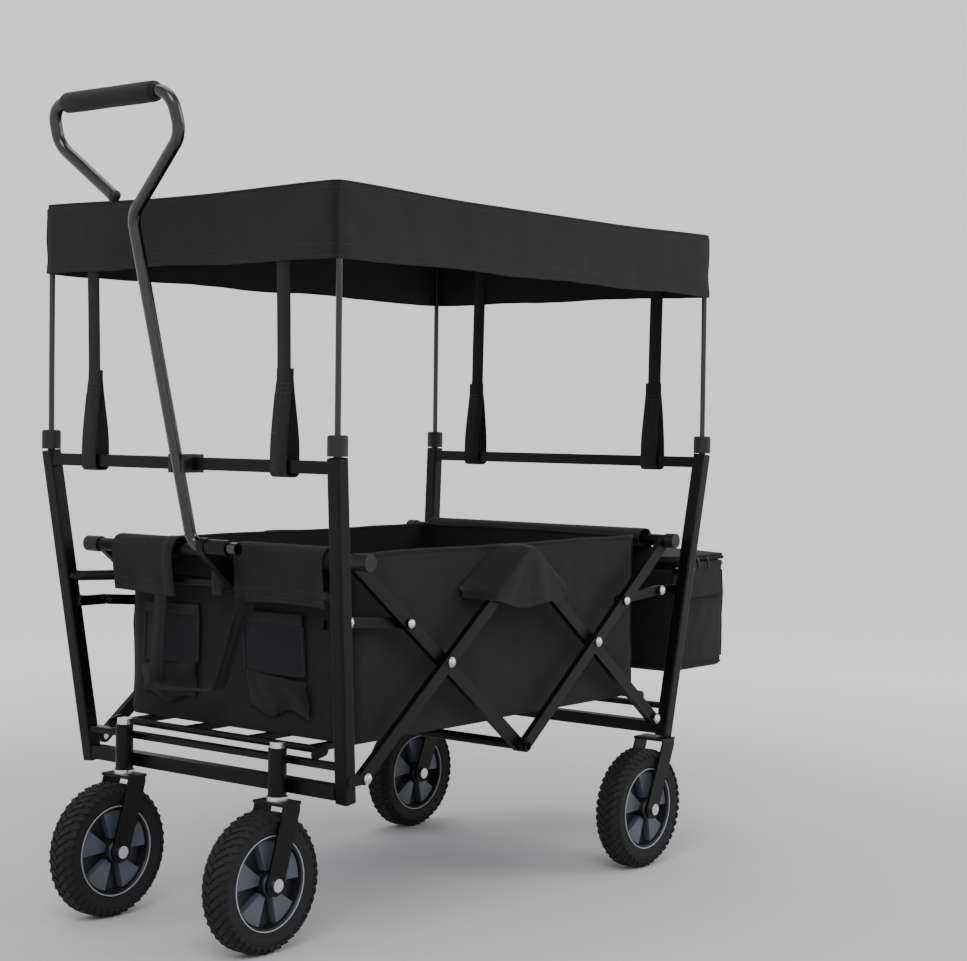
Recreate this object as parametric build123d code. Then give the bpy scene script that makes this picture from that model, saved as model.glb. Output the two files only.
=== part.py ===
from build123d import *
import os
from math import acos, atan2, cos, degrees, hypot, radians, sin, sqrt, tan

# Folding pull wagon with a canopy. Millimetres, +Z up, the front (handle end) at -X.
# The origin is on the floor, midway between the two end frames.

# End frames: four leaning posts and their crossbars
post_side = 20.0
post_wall = 1.5
post_corner = 3.0
post_foot_x = 362.0
post_foot_y = 239.5
post_foot_z = 195.0
post_top_x = 415.0
post_top_y = 268.5
post_top_z = 628.0
lower_bar_z = 207.0
lower_bar_side = 18.0
upper_bar_z = 240.0
upper_bar_high = 8.0
upper_bar_deep = 14.0
top_bar_z = 616.0
top_bar_side = 16.0
weld_gap = 0.3

# Side scissors: two crossed pairs on each side
half_pitch = 338.0
folded_half_pitch = 53.0
pivot_low_z = 224.0
pivot_high_z = 488.0
bar_high = 18.0
bar_thick = 9.0
outer_bar_y = 245.0
inner_bar_y = 234.0
bar_past_top = 14.0
pin_radius = 4.0
running_gap = 0.05
rivet_head_radius = 7.0
rivet_head_high = 2.5
side_gap = 0.5
tongue_thick = 3.0
open_pivot_gap = 0.6

# Links from the posts to the scissors
link_from_rivet = 90.0
link_pin_inset = 11.0
link_high = 14.0
link_thick = 5.0
front_link_y = 224.5
rear_link_y = 235.0

# Cross tubes carried by the scissors
top_tube_radius = 9.0
top_tube_half = 262.0
tube_cap_radius = 11.0
sleeve_wall = 2.5
sleeve_half = 205.0
centre_tube_radius = 7.0

# Floor bars, folding up from each end
floor_bar_high = 8.0
floor_bar_wide = 14.0
front_floor_rows = (-170.0, -60.0, 60.0, 170.0)
rear_floor_rows = (-145.0, -35.0, 35.0, 145.0)
floor_lap = 22.0
floor_hinge_radius = 5.0
floor_hinge_half = 190.0
floor_pin_radius = 3.0

# Wheels and their forks
wheel_radius = 90.0
wheel_wide = 40.0
tyre_shoulder = 8.0
rim_radius = 61.0
rim_wide = 34.0
hub_radius = 15.0
hub_wide = 42.0
axle_radius = 5.0
panel_count = 5
panel_angle = 41.0
panel_deep = 13.0
web_thick = 5.0
fork_gap = 2.5
fork_plate = 3.0
fork_wide = 30.0
caster_x = 387.5
caster_y = 145.0
caster_trail = 28.0
housing_radius = 12.0
housing_low_z = 196.0
housing_high_z = 257.0
kingpin_radius = 6.0
fork_top_z = 190.0
rear_wheel_x = 312.0
rear_wheel_y = 229.0
rear_fork_lean = 42.0
rear_fork_drop = 1.7

# Handle
handle_pivot_x = -406.0
handle_pivot_z = 508.0
handle_lean = 14.3
handle_radius = 8.0
handle_y = -6.0
stem_long = 433.0
loop_corners = ((-118.0, 527.0), (-113.0, 581.0), (105.0, 581.0), (107.0, 531.0), (22.0, 460.0))
loop_radii = (34.0, 26.0, 24.0, 34.0)
stem_low_radius = 18.0
stem_high_radius = 34.0
grip_radius = 13.0
grip_low_y = -88.0
grip_high_y = 78.0
pin_end_y = -90.0
pin_sleeve_end_y = -74.0
pin_sleeve_wall = 2.5
bracket_y = -30.0
bracket_thick = 12.0
bracket_high = 24.0
handle_bar_x = -345.0
handle_bar_z = 455.0
handle_bar_radius = 7.0
handle_bar_half = 200.0
handle_bar_turn_y = 232.0
handle_bar_bends = (12.0, 14.0, 14.0, 12.0)
tube_wall = 1.5
clip_wall = 4.0
clip_wide = 30.0

# Basket, mesh pockets, canopy and bag
cloth = 3.0
soft_gap = 0.3
basket_half_x = 326.0
basket_half_y = 214.0
basket_low_z = 259.0
basket_high_z = 503.0
pad_thick = 8.0
pad_edge_gap = 4.0
pocket_half_y = 53.0
pocket_rows = (-76.0, 115.0)
pocket_thick = 6.0
pocket_low_z = 286.0
pocket_high_z = 418.0
canopy_half_x = 426.0
canopy_half_y = 276.0
canopy_low_z = 869.0
canopy_high_z = 966.0
pole_radius = 4.0
pole_top_gap = 0.5
socket_radius = 13.0
socket_high = 26.0
socket_lift = 2.0
socket_plug_radius = 5.0
strap_y = 178.0
strap_wide = 26.0
strap_thick = 2.0
strap_sewn = 40.0
bag_near_x = 452.0
bag_far_x = 618.0
bag_half_y = 196.0
bag_low_z = 278.0
bag_high_z = 462.0
bail_radius = 5.0
bail_z = 447.0

floor_bar_z = basket_low_z - soft_gap - floor_bar_high / 2
bar_long = hypot(half_pitch, pivot_high_z - pivot_low_z)
open_angle = atan2(pivot_high_z - pivot_low_z, half_pitch)
folded_angle = acos(folded_half_pitch / bar_long)


def link_end(angle):
    """Where the link meets the falling bar, measured from the low pivot on the post."""
    half = bar_long / 2
    across = half * cos(angle) - link_from_rivet * cos(angle)
    up = half * sin(angle) + link_from_rivet * sin(angle)
    return across, up


def link_pin_height():
    """Height on the post from which the link reaches the bar both open and folded."""
    x1, z1 = link_end(open_angle)
    x2, z2 = link_end(folded_angle)
    a = (x1 + link_pin_inset) ** 2 + z1**2
    b = (x2 + link_pin_inset) ** 2 + z2**2
    return (a - b) / (2 * (z1 - z2))


link_pin_z = pivot_low_z + link_pin_height()


def post_centre(z):
    """Centre of the front right post's section at a height, as x and y sizes."""
    t = (z - post_foot_z) / (post_top_z - post_foot_z)
    return (
        post_foot_x + t * (post_top_x - post_foot_x),
        post_foot_y + t * (post_top_y - post_foot_y),
    )


def square_tube(start, end, side, wall, corner):
    axis = Vector(*end) - Vector(*start)
    plane = Plane(origin=start, x_dir=(1, 0, -axis.X / axis.Z) if axis.Z else (1, 0, 0), z_dir=axis)
    section = RectangleRounded(side, side, corner) - Rectangle(side - 2 * wall, side - 2 * wall)
    return plane * extrude(section, axis.length)


def rod(start, end, radius, bore=0.0):
    axis = Vector(*end) - Vector(*start)
    section = Circle(radius)
    if bore:
        section -= Circle(bore)
    return Plane(origin=start, z_dir=axis) * extrude(section, axis.length)


def flat_bar(start, end, y, high, thick, hole=0.0, holes=()):
    """A round-ended bar lying in an XZ plane. start and end are (x, z) pivot points."""
    dx = end[0] - start[0]
    dz = end[1] - start[1]
    middle = ((start[0] + end[0]) / 2, y, (start[1] + end[1]) / 2)
    plane = Plane(origin=middle, x_dir=(dx, 0, dz), z_dir=(0, -1, 0))
    bar = plane * extrude(SlotCenterToCenter(hypot(dx, dz), high), thick / 2, both=True)
    for x, z in holes:
        bar -= Pos(x, y, z) * Rot(90, 0, 0) * Cylinder(hole, thick + 2)
    return bar


def rivet(x, z, y_in, y_out, side, radius=pin_radius):
    """A pin along Y with a domed head on its outer end. side is +1 left, -1 right."""
    shank = rod((x, side * y_in, z), (x, side * y_out, z), radius)
    head = rod((x, side * y_out, z), (x, side * (y_out + rivet_head_high), z), rivet_head_radius)
    return shank + head


def write(name, shapes):
    """One STEP per node, from one solid or a list of separate solids."""
    solids = [s for shape in shapes for s in shape.solids()]
    for s in solids:
        s.label = name
    whole = solids[0] if len(solids) == 1 else Compound(children=solids)
    whole.label = name
    export_step(whole, os.path.join("parts", name + ".step"))


def both_sides(make):
    return [make(-1), make(1)]


def post(end, side):
    """end is -1 front, +1 rear. side is -1 right, +1 left. The link bracket is welded on."""
    foot = (end * post_foot_x, side * post_foot_y, post_foot_z)
    top = (end * post_top_x, side * post_top_y, post_top_z)
    tube = square_tube(foot, top, post_side, post_wall, post_corner)
    link_y = front_link_y if end < 0 else rear_link_y
    link_face = link_y + link_thick / 2 + side_gap
    bar_face = layer(end, True) + bar_thick / 2 + side_gap
    tongues = ((link_pin_z, half_pitch + link_pin_inset, link_face), (pivot_low_z, half_pitch, bar_face))
    for z, reach, near in tongues:
        cx, cy = post_centre(z)
        far = near + tongue_thick
        tongue = flat_bar((end * reach, z), (end * cx, z), side * (near + far) / 2, link_high, far - near,
                          pin_radius + running_gap, [(end * reach, z)])
        if far < cy:
            x0 = cx - post_side / 2 + 2
            web = Pos(end * (x0 + 5), side * (near + cy) / 2, z) * Box(10, cy - near, link_high)
            tongue += web
        inside = rod(foot, top, post_side / 2 - post_wall - 0.2)
        tube += tongue - inside
    return tube


def crossbar(end, z, deep, high):
    cx, cy = post_centre(z)
    slope = (post_top_y - post_foot_y) / (post_top_z - post_foot_z)
    half = cy - post_side / 2 - high * slope / 2 - weld_gap
    bar = Pos(end * cx, 0, z) * Box(deep, 2 * half, high)
    bar -= Pos(end * cx, 0, z) * Box(deep - 3, 2 * half + 2, high - 3)
    return bar


def pole(end, side):
    low = post_top_z + 6
    return rod((end * post_top_x, side * post_top_y, low),
               (end * post_top_x, side * post_top_y, canopy_high_z - cloth - pole_top_gap), pole_radius)


def pole_socket(end, side):
    x = end * post_top_x
    y = side * post_top_y
    cup = Pos(x, y, post_top_z + socket_lift + socket_high / 2) * Cylinder(socket_radius, socket_high)
    cup = fillet(cup.edges().sort_by(Axis.Z)[-1:], 3)
    cup += rod((x, y, post_top_z - 13), (x, y, post_top_z + socket_lift + 1), socket_plug_radius)
    cup -= rod((x, y, post_top_z + 6), (x, y, post_top_z + socket_high + 5), pole_radius + running_gap)
    return cup


def rising_bar(end, side):
    """From the post's low pivot up to the middle of the side."""
    y = side * layer(end, True)
    low = (end * half_pitch, pivot_low_z)
    high = (0, pivot_high_z)
    middle = (end * half_pitch / 2, (pivot_low_z + pivot_high_z) / 2)
    bar = flat_bar(low, high, y, bar_high, bar_thick, pin_radius + running_gap, [low, middle])
    gap = running_gap if end < 0 else open_pivot_gap
    return bar - Pos(0, y, pivot_high_z) * Rot(90, 0, 0) * Cylinder(pin_radius + gap, bar_thick + 2)


def falling_bar(end, side):
    """From the top tube at the end frame down to the middle of the side."""
    y = side * layer(end, False)
    tip = tube_centre(end)
    low = (0, pivot_low_z)
    middle = (end * half_pitch / 2, (pivot_low_z + pivot_high_z) / 2)
    link_at = link_point(end)
    bar = flat_bar(tip, low, y, bar_high, bar_thick, pin_radius + running_gap, [middle])
    link_y = front_link_y if end < 0 else rear_link_y
    bar += rivet(link_at[0], link_at[1], link_y + link_thick / 2 + side_gap,
                 layer(end, False) + bar_thick / 2, side)
    bar -= Pos(0, y, pivot_low_z) * Rot(90, 0, 0) * Cylinder(centre_tube_radius + running_gap, bar_thick + 2)
    bar -= Pos(tip[0], y, tip[1]) * Rot(90, 0, 0) * Cylinder(5 + running_gap, bar_thick + 2)
    return bar


def layer(end, rising):
    """Bar layers swap from front to rear, so that bars which meet lie side by side."""
    return outer_bar_y if (end < 0) == rising else inner_bar_y


def tube_centre(end):
    x = half_pitch + bar_past_top * cos(open_angle)
    return end * x, pivot_high_z + bar_past_top * sin(open_angle)


def link_point(end):
    return (end * (half_pitch / 2 + link_from_rivet * cos(open_angle)),
            (pivot_low_z + pivot_high_z) / 2 + link_from_rivet * sin(open_angle))


def frame_rivets(end):
    """Pins in the end frame: two for the rising bars and two for the links."""
    pins = []
    link_y = front_link_y if end < 0 else rear_link_y
    for side in (-1, 1):
        y = layer(end, True)
        pins.append(rivet(end * half_pitch, pivot_low_z, y - bar_thick / 2 - 1,
                          y + bar_thick / 2 + side_gap + tongue_thick, side))
        pins.append(rivet(end * (half_pitch + link_pin_inset), link_pin_z, link_y - link_thick / 2 - 1,
                          link_y + link_thick / 2 + side_gap + tongue_thick, side))
    return pins


def cross_rivets(end):
    """Pins where the scissor bars cross. The front set also holds the high middle pins."""
    pins = []
    inner = inner_bar_y - bar_thick / 2 - 1
    outer = outer_bar_y + bar_thick / 2
    for side in (-1, 1):
        pins.append(rivet(end * half_pitch / 2, (pivot_low_z + pivot_high_z) / 2, inner, outer, side))
        if end < 0:
            pins.append(rivet(0, pivot_high_z, inner, outer, side))
    return pins


def link(end, side):
    y = side * (front_link_y if end < 0 else rear_link_y)
    pin = (end * (half_pitch + link_pin_inset), link_pin_z)
    bar = flat_bar(pin, link_point(end), y, link_high, link_thick, pin_radius + running_gap, [pin])
    return bar


def top_tube(end):
    """A tube between the scissor bars, stepped down to a pin through each bar."""
    x, z = tube_centre(end)
    bar_y = layer(end, False)
    body = bar_y - bar_thick / 2 - 0.5
    tube = rod((x, -body, z), (x, body, z), top_tube_radius)
    return tube + rod((x, -top_tube_half, z), (x, top_tube_half, z), 5.0)


def tube_cap(end, side):
    x, z = tube_centre(end)
    bar_y = layer(end, False) + bar_thick / 2 + 0.5
    cap = rod((x, side * bar_y, z), (x, side * (top_tube_half + 4), z), tube_cap_radius)
    cap -= rod((x, side * (bar_y - 1), z), (x, side * top_tube_half, z), 5.0 + running_gap)
    return cap


def hem_sleeve(end):
    x, z = tube_centre(end)
    bore = top_tube_radius + soft_gap
    return rod((x, -sleeve_half, z), (x, sleeve_half, z), bore + sleeve_wall, bore)


def centre_tube():
    """Joins both sides at the low middle pivots."""
    half = outer_bar_y + bar_thick / 2 + 3
    return rod((0, -half, pivot_low_z), (0, half, pivot_low_z), centre_tube_radius, centre_tube_radius - 1.5)


def floor_hinge_x(end):
    return end * (post_centre(floor_bar_z)[0] - upper_bar_deep / 2 - floor_hinge_radius - 4)


def floor_bars(end):
    """Floor bars welded to a hinge tube beside the end frame's upper crossbar."""
    rows = front_floor_rows if end < 0 else rear_floor_rows
    x0 = floor_hinge_x(end)
    x1 = -end * floor_lap
    frame = rod((x0, -floor_hinge_half, floor_bar_z), (x0, floor_hinge_half, floor_bar_z),
                floor_hinge_radius, floor_pin_radius + running_gap)
    for y in rows:
        bar = Pos((x0 + x1) / 2, y, floor_bar_z) * Box(abs(x1 - x0), floor_bar_wide, floor_bar_high)
        frame += bar - rod((x0, y - 20, floor_bar_z), (x0, y + 20, floor_bar_z), floor_hinge_radius - 1)
    return frame


def upper_crossbar(end):
    """The flat crossbar, with a welded ear and pin for each end of the floor hinge tube."""
    whole = crossbar(end, upper_bar_z, upper_bar_deep, upper_bar_high)
    cx = end * post_centre(upper_bar_z)[0]
    x0 = floor_hinge_x(end)
    for side in (-1, 1):
        y = side * (floor_hinge_half + 3)
        ear = flat_bar((x0, floor_bar_z), (cx, floor_bar_z - 3), y, 14, 4)
        ear -= Pos(cx, y, upper_bar_z - 2) * Box(upper_bar_deep - 3, 8, upper_bar_high + 1)
        pin = rod((x0, side * (floor_hinge_half - 12), floor_bar_z), (x0, y, floor_bar_z), floor_pin_radius)
        whole += ear + pin
    return whole


def tyre(x, y):
    """A solid ring with rounded shoulders, turned about the axle."""
    bead = rim_radius + running_gap
    middle = (bead + wheel_radius) / 2
    deep = wheel_radius - bead
    section = Pos(0, middle) * RectangleRounded(wheel_wide, deep, min(tyre_shoulder, 0.4 * deep))
    body = revolve(section, Axis.X)
    return Pos(x, y, wheel_radius) * Rot(0, 0, 90) * body


def rim(x, y):
    """Rim ring, hub and raised wedge panels on a thin web."""
    ring = extrude(Circle(rim_radius) - Circle(rim_radius - 4), rim_wide / 2, both=True)
    web = extrude(Circle(rim_radius - 3) - Circle(hub_radius - 1), web_thick / 2, both=True)
    hub = extrude(Circle(hub_radius), hub_wide / 2, both=True)
    body = ring + web + hub
    reach = rim_radius - 2
    half = radians(panel_angle / 2)
    for k in range(panel_count):
        far_x = 2 * reach * cos(half)
        far_y = 2 * reach * sin(half)
        wedge = make_face(Polyline((0, 0), (far_x, -far_y), (far_x, far_y), close=True)) & Circle(reach)
        panel = extrude(wedge, panel_deep, both=True)
        body += Rot(0, 0, 90 + 360 * k / panel_count) * panel
    body -= Cylinder(axle_radius + running_gap, hub_wide + 4)
    return Pos(x, y, wheel_radius) * Rot(90, 0, 0) * body


def fork(x, y, top_x, top_z):
    """A folded steel fork: a top plate and two legs down to the axle."""
    inner = hub_wide / 2 + fork_gap
    parts = None
    for s in (-1, 1):
        leg = flat_bar((x, wheel_radius), (top_x, top_z - 9), y + s * (inner + fork_plate / 2),
                       fork_wide, fork_plate, axle_radius + running_gap, [(x, wheel_radius)])
        leg -= Pos(top_x, y, top_z + 50) * Box(200, 200, 100)
        parts = leg if parts is None else parts + leg
    plate = Pos(top_x, y, top_z - 2) * Box(34, 2 * (inner + fork_plate), 4)
    return parts + plate


def axle(x, y):
    half = hub_wide / 2 + fork_gap + fork_plate
    pin = rod((x, y - half - 3, wheel_radius), (x, y + half + 3, wheel_radius), axle_radius)
    for s in (-1, 1):
        a = y + s * half
        pin += rod((x, a, wheel_radius), (x, a + s * 5, wheel_radius), 8.5)
    return pin


def caster_housing(side):
    x = -caster_x
    y = side * caster_y
    tube = rod((x, y, housing_low_z), (x, y, housing_high_z), housing_radius, kingpin_radius + 0.6)
    lug_x = x + housing_radius - 1
    for z, high in ((lower_bar_z, 12), (upper_bar_z, 6)):
        face = -(post_centre(z)[0] + (lower_bar_side if z == lower_bar_z else upper_bar_deep) / 2) - weld_gap
        if face > lug_x:
            tube += Pos((face + lug_x) / 2, y, z) * Box(face - lug_x + 0.01, 16, high)
    return tube


def kingpin(side):
    x = -caster_x
    y = side * caster_y
    pin = rod((x, y, fork_top_z), (x, y, housing_high_z + 3), kingpin_radius)
    pin += rod((x, y, housing_high_z + 0.4), (x, y, housing_high_z + 8), 10.0)
    pin += rod((x, y, fork_top_z), (x, y, housing_low_z - 0.4), 14.0)
    return pin


def handle_frame():
    """Plane whose X is +Y of the wagon and whose Y runs up the leaning stem."""
    lean = radians(handle_lean)
    return Plane(origin=(handle_pivot_x, 0, handle_pivot_z), x_dir=(0, 1, 0), z_dir=(cos(lean), 0, sin(lean)))


def handle_path():
    """Centre line: pivot pin, bend, stem, open loop and free end."""
    points = [(pin_end_y, 0), (handle_y, 0), (handle_y, stem_long), *loop_corners]
    radii = (stem_low_radius, stem_high_radius, *loop_radii)
    return points, radii


def rounded_path(points, radii):
    """A polyline with its own arc radius at each inner corner."""
    pts = [Vector(*p) for p in points]
    edges = []
    last = pts[0]
    for i, r in enumerate(radii):
        a, b, c = pts[i], pts[i + 1], pts[i + 2]
        u = (a - b).normalized()
        v = (c - b).normalized()
        half = radians(u.get_angle(v)) / 2
        cut = r / tan(half)
        p = b + u * cut
        q = b + v * cut
        centre = b + (u + v).normalized() * (r / sin(half))
        m = centre + (b - centre).normalized() * r
        edges.append(Line(last, p))
        edges.append(ThreePointArc(p, m, q))
        last = q
    edges.append(Line(last, pts[-1]))
    return edges


def swept(edges, radius, bore=0.0):
    path = Wire([e.edge() if hasattr(e, "edge") else e for e in edges])
    start = Plane(origin=path @ 0, z_dir=path % 0)
    section = Circle(radius)
    if bore:
        section -= Circle(bore)
    return sweep(start * section, path=path)


def handle_tube():
    points, radii = handle_path()
    tube = swept(rounded_path(points, radii), handle_radius, handle_radius - tube_wall)
    return handle_frame() * tube


def handle_grip():
    """Foam sleeve on the top run of the loop."""
    long = grip_high_y - grip_low_y
    sleeve = Cylinder(grip_radius, long) - Cylinder(handle_radius + soft_gap, long + 2)
    middle = (grip_low_y + grip_high_y) / 2
    return handle_frame() * Pos(middle, loop_corners[1][1], 0) * Rot(0, 90, 0) * sleeve


def handle_crossbar():
    """A fixed round bar between the front posts, bent back under the basket's front hem."""
    post_x, post_y = post_centre(handle_bar_z)
    slope = (post_top_y - post_foot_y) / (post_top_z - post_foot_z)
    end_y = post_y - post_side / 2 - handle_bar_radius * slope - weld_gap
    half = [(-post_x, end_y), (-post_x, handle_bar_turn_y), (handle_bar_x, handle_bar_half)]
    points = [(x, -y) for x, y in half] + half[::-1]
    edges = rounded_path(points, handle_bar_bends)
    return Pos(0, 0, handle_bar_z) * swept(edges, handle_bar_radius, handle_bar_radius - tube_wall)


def handle_bracket():
    """A lug on the fixed bar, with a sleeve that carries the handle's pivot pin."""
    lug = flat_bar((handle_bar_x, handle_bar_z), (handle_pivot_x, handle_pivot_z), bracket_y,
                   bracket_high, bracket_thick)
    near = bracket_y + bracket_thick / 2
    start = (handle_pivot_x, near, handle_pivot_z)
    stop = (handle_pivot_x, pin_sleeve_end_y, handle_pivot_z)
    whole = lug + rod(start, stop, handle_radius + pin_sleeve_wall)
    bores = ((handle_bar_x, handle_bar_z, handle_bar_radius), (handle_pivot_x, handle_pivot_z, handle_radius))
    for x, z, radius in bores:
        whole -= rod((x, near + 1, z), (x, pin_sleeve_end_y - 1, z), radius + running_gap)
    return whole


def handle_clip():
    """A saddle round the front top crossbar, open to the front for the stem to rest in."""
    cx = post_centre(top_bar_z)[0]
    lean = radians(handle_lean)
    stem_x = handle_pivot_x - (top_bar_z - handle_pivot_z) * tan(lean)
    outer = top_bar_side + 2 * clip_wall
    ring = Pos(-cx, handle_y, top_bar_z) * Box(outer, clip_wide, outer)
    back = -cx - top_bar_side / 2
    jaws = Pos((stem_x - 3 + back) / 2, handle_y, top_bar_z) * Box(back - stem_x + 3, clip_wide, outer)
    whole = ring + jaws
    whole -= Pos(-cx, handle_y, top_bar_z) * Box(top_bar_side + 0.2, clip_wide + 2, top_bar_side + 0.2)
    low = (handle_pivot_x, handle_y, handle_pivot_z)
    high = (handle_pivot_x - 200 * tan(lean), handle_y, handle_pivot_z + 200)
    whole -= rod(low, high, handle_radius + 0.5)
    way_out = Pos(stem_x - 15, handle_y, top_bar_z) * Box(30, 2 * handle_radius + 1, outer + 2)
    return whole - way_out


def basket():
    outer = Pos(0, 0, (basket_low_z + basket_high_z) / 2) * Box(
        2 * basket_half_x, 2 * basket_half_y, basket_high_z - basket_low_z)
    inner = Pos(0, 0, (basket_low_z + basket_high_z) / 2 + cloth) * Box(
        2 * (basket_half_x - cloth), 2 * (basket_half_y - cloth), basket_high_z - basket_low_z)
    return outer - inner


def floor_pad():
    z = basket_low_z + cloth + soft_gap + pad_thick / 2
    inset = cloth + pad_edge_gap
    return Pos(0, 0, z) * Box(2 * (basket_half_x - inset), 2 * (basket_half_y - inset), pad_thick)


def mesh_pocket(y):
    x = -basket_half_x - soft_gap - pocket_thick / 2
    z = (pocket_low_z + pocket_high_z) / 2
    return Pos(x, y, z) * Box(pocket_thick, 2 * pocket_half_y, pocket_high_z - pocket_low_z)


def canopy():
    """A shallow crowned top with a skirt on four sides."""
    high = canopy_high_z - canopy_low_z
    outer = Pos(0, 0, canopy_low_z + high / 2) * Box(2 * canopy_half_x, 2 * canopy_half_y, high)
    inner = Pos(0, 0, canopy_low_z + high / 2 - cloth) * Box(
        2 * (canopy_half_x - cloth), 2 * (canopy_half_y - cloth), high)
    return outer - inner


def strap(end, side):
    """Webbing from the top crossbar up to the canopy's skirt."""
    x_low = end * post_centre(top_bar_z)[0]
    z_low = top_bar_z + top_bar_side / 2 + soft_gap
    x_top = end * (canopy_half_x - cloth - soft_gap - strap_thick)
    z_top = canopy_low_z + strap_sewn
    middle = ((x_low + x_top) / 2, side * strap_y, (z_low + z_top) / 2)
    plane = Plane(origin=middle, x_dir=(x_top - x_low, 0, z_top - z_low), z_dir=(0, -1, 0))
    return plane * Box(hypot(x_top - x_low, z_top - z_low), strap_thick, strap_wide)


def bag():
    long = bag_far_x - bag_near_x
    body = Pos((bag_near_x + bag_far_x) / 2, 0, (bag_low_z + bag_high_z) / 2) * Box(
        long, 2 * bag_half_y, bag_high_z - bag_low_z)
    body = fillet(body.edges(), 8)
    groove_high = 2 * bail_radius + 1
    centre = Pos((bag_near_x + bag_far_x) / 2, 0, bail_z)
    groove = centre * Box(long + 2, 2 * bag_half_y + 2, groove_high)
    core = centre * Box(long - 4 * bail_radius, 2 * bag_half_y - 4 * bail_radius, groove_high)
    core = fillet(core.edges().filter_by(Axis.Z), 20)
    return body - (groove - core)


def bail():
    """A bent rod from both rear posts round the bag, lying in the groove under its lid."""
    cx, cy = post_centre(bail_z)
    y = bag_half_y - bail_radius + 1
    start_x = cx - post_side / 2 + 4
    outer_y = cy - post_side / 2 - bail_radius - 0.5
    points = [(start_x, -outer_y), (bag_near_x - 12, -outer_y), (bag_near_x + 14, -y), (bag_far_x - 4, -y),
              (bag_far_x - 4, y), (bag_near_x + 14, y), (bag_near_x - 12, outer_y), (start_x, outer_y)]
    edges = rounded_path(points, (20.0, 20.0, 22.0, 22.0, 20.0, 20.0))
    return Pos(0, 0, bail_z) * swept(edges, bail_radius)


def main():
    os.makedirs("parts", exist_ok=True)
    for end, name in ((-1, "front"), (1, "rear")):
        write(f"{name}_posts", both_sides(lambda s: post(end, s)))
        write(f"{name}_frame_rivets", frame_rivets(end))
        write(f"{name}_cross_rivets", cross_rivets(end))
        write(f"{name}_lower_crossbar", [crossbar(end, lower_bar_z, lower_bar_side, lower_bar_side)])
        write(f"{name}_upper_crossbar", [upper_crossbar(end)])
        write(f"{name}_top_crossbar", [crossbar(end, top_bar_z, top_bar_side, top_bar_side)])
        write(f"{name}_pole_sockets", both_sides(lambda s: pole_socket(end, s)))
        write(f"{name}_canopy_poles", both_sides(lambda s: pole(end, s)))
        write(f"{name}_canopy_straps", both_sides(lambda s: strap(end, s)))
        write(f"{name}_rising_bars", both_sides(lambda s: rising_bar(end, s)))
        write(f"{name}_falling_bars", both_sides(lambda s: falling_bar(end, s)))
        write(f"{name}_links", both_sides(lambda s: link(end, s)))
        write(f"{name}_top_tube", [top_tube(end)])
        write(f"{name}_tube_caps", both_sides(lambda s: tube_cap(end, s)))
        write(f"{name}_hem_sleeve", [hem_sleeve(end)])
        write(f"{name}_floor_bars", [floor_bars(end)])
    write("centre_tube", [centre_tube()])
    for side, hand in ((-1, "right"), (1, "left")):
        y = side * caster_y
        x = -caster_x - caster_trail
        write(f"front_tyre_{hand}", [tyre(x, y)])
        write(f"front_rim_{hand}", [rim(x, y)])
        write(f"front_fork_{hand}", [fork(x, y, -caster_x, fork_top_z)])
        write(f"caster_bolts_{hand}", [axle(x, y), kingpin(side)])
        y = side * rear_wheel_y
        write(f"rear_tyre_{hand}", [tyre(rear_wheel_x, y)])
        write(f"rear_rim_{hand}", [rim(rear_wheel_x, y)])
    fork_x = rear_wheel_x + rear_fork_lean
    fork_z = post_foot_z - rear_fork_drop
    write("rear_forks", both_sides(lambda s: fork(rear_wheel_x, s * rear_wheel_y, fork_x, fork_z)))
    write("rear_axles", both_sides(lambda s: axle(rear_wheel_x, s * rear_wheel_y)))
    write("caster_housings", both_sides(caster_housing))
    write("handle_tube", [handle_tube()])
    write("handle_grip", [handle_grip()])
    write("handle_crossbar", [handle_crossbar()])
    write("handle_bracket", [handle_bracket()])
    write("handle_clip", [handle_clip()])
    write("basket", [basket()])
    write("floor_pad", [floor_pad()])
    write("mesh_pockets", [mesh_pocket(y) for y in pocket_rows])
    write("canopy", [canopy()])
    write("rear_bag", [bag()])
    write("bag_bail", [bail()])


main()
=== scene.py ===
import math

import bmesh
import bpy
import numpy as np
from mathutils import Matrix, Vector


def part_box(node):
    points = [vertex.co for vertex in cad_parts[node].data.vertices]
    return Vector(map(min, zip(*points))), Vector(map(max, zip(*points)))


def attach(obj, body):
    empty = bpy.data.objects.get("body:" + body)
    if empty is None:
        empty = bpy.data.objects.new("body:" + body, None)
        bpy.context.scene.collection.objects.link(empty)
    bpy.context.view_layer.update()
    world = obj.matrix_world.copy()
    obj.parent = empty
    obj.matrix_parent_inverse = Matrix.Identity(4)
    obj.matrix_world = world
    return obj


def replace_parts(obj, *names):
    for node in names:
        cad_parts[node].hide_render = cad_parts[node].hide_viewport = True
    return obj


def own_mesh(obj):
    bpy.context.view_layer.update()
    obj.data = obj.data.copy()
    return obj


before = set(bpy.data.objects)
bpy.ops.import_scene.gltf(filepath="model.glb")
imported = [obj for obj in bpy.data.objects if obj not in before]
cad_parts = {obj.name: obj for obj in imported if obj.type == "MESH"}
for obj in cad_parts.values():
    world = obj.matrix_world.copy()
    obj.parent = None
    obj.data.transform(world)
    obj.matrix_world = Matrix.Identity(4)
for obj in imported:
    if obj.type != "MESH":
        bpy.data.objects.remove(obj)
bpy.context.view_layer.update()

MM = 0.001
HANDLE_PIVOT = (-406.0, 0, 508.0)
HANDLE_LEAN = 14.3
GRIP_UP = 581
GLOW = (0.49, 0.49, 0.495)
GLOW_STARTS = 1.0
GLOW_GROWS = 1.6


# ---------------------------------------------------------------- camera, lights and floor

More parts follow.
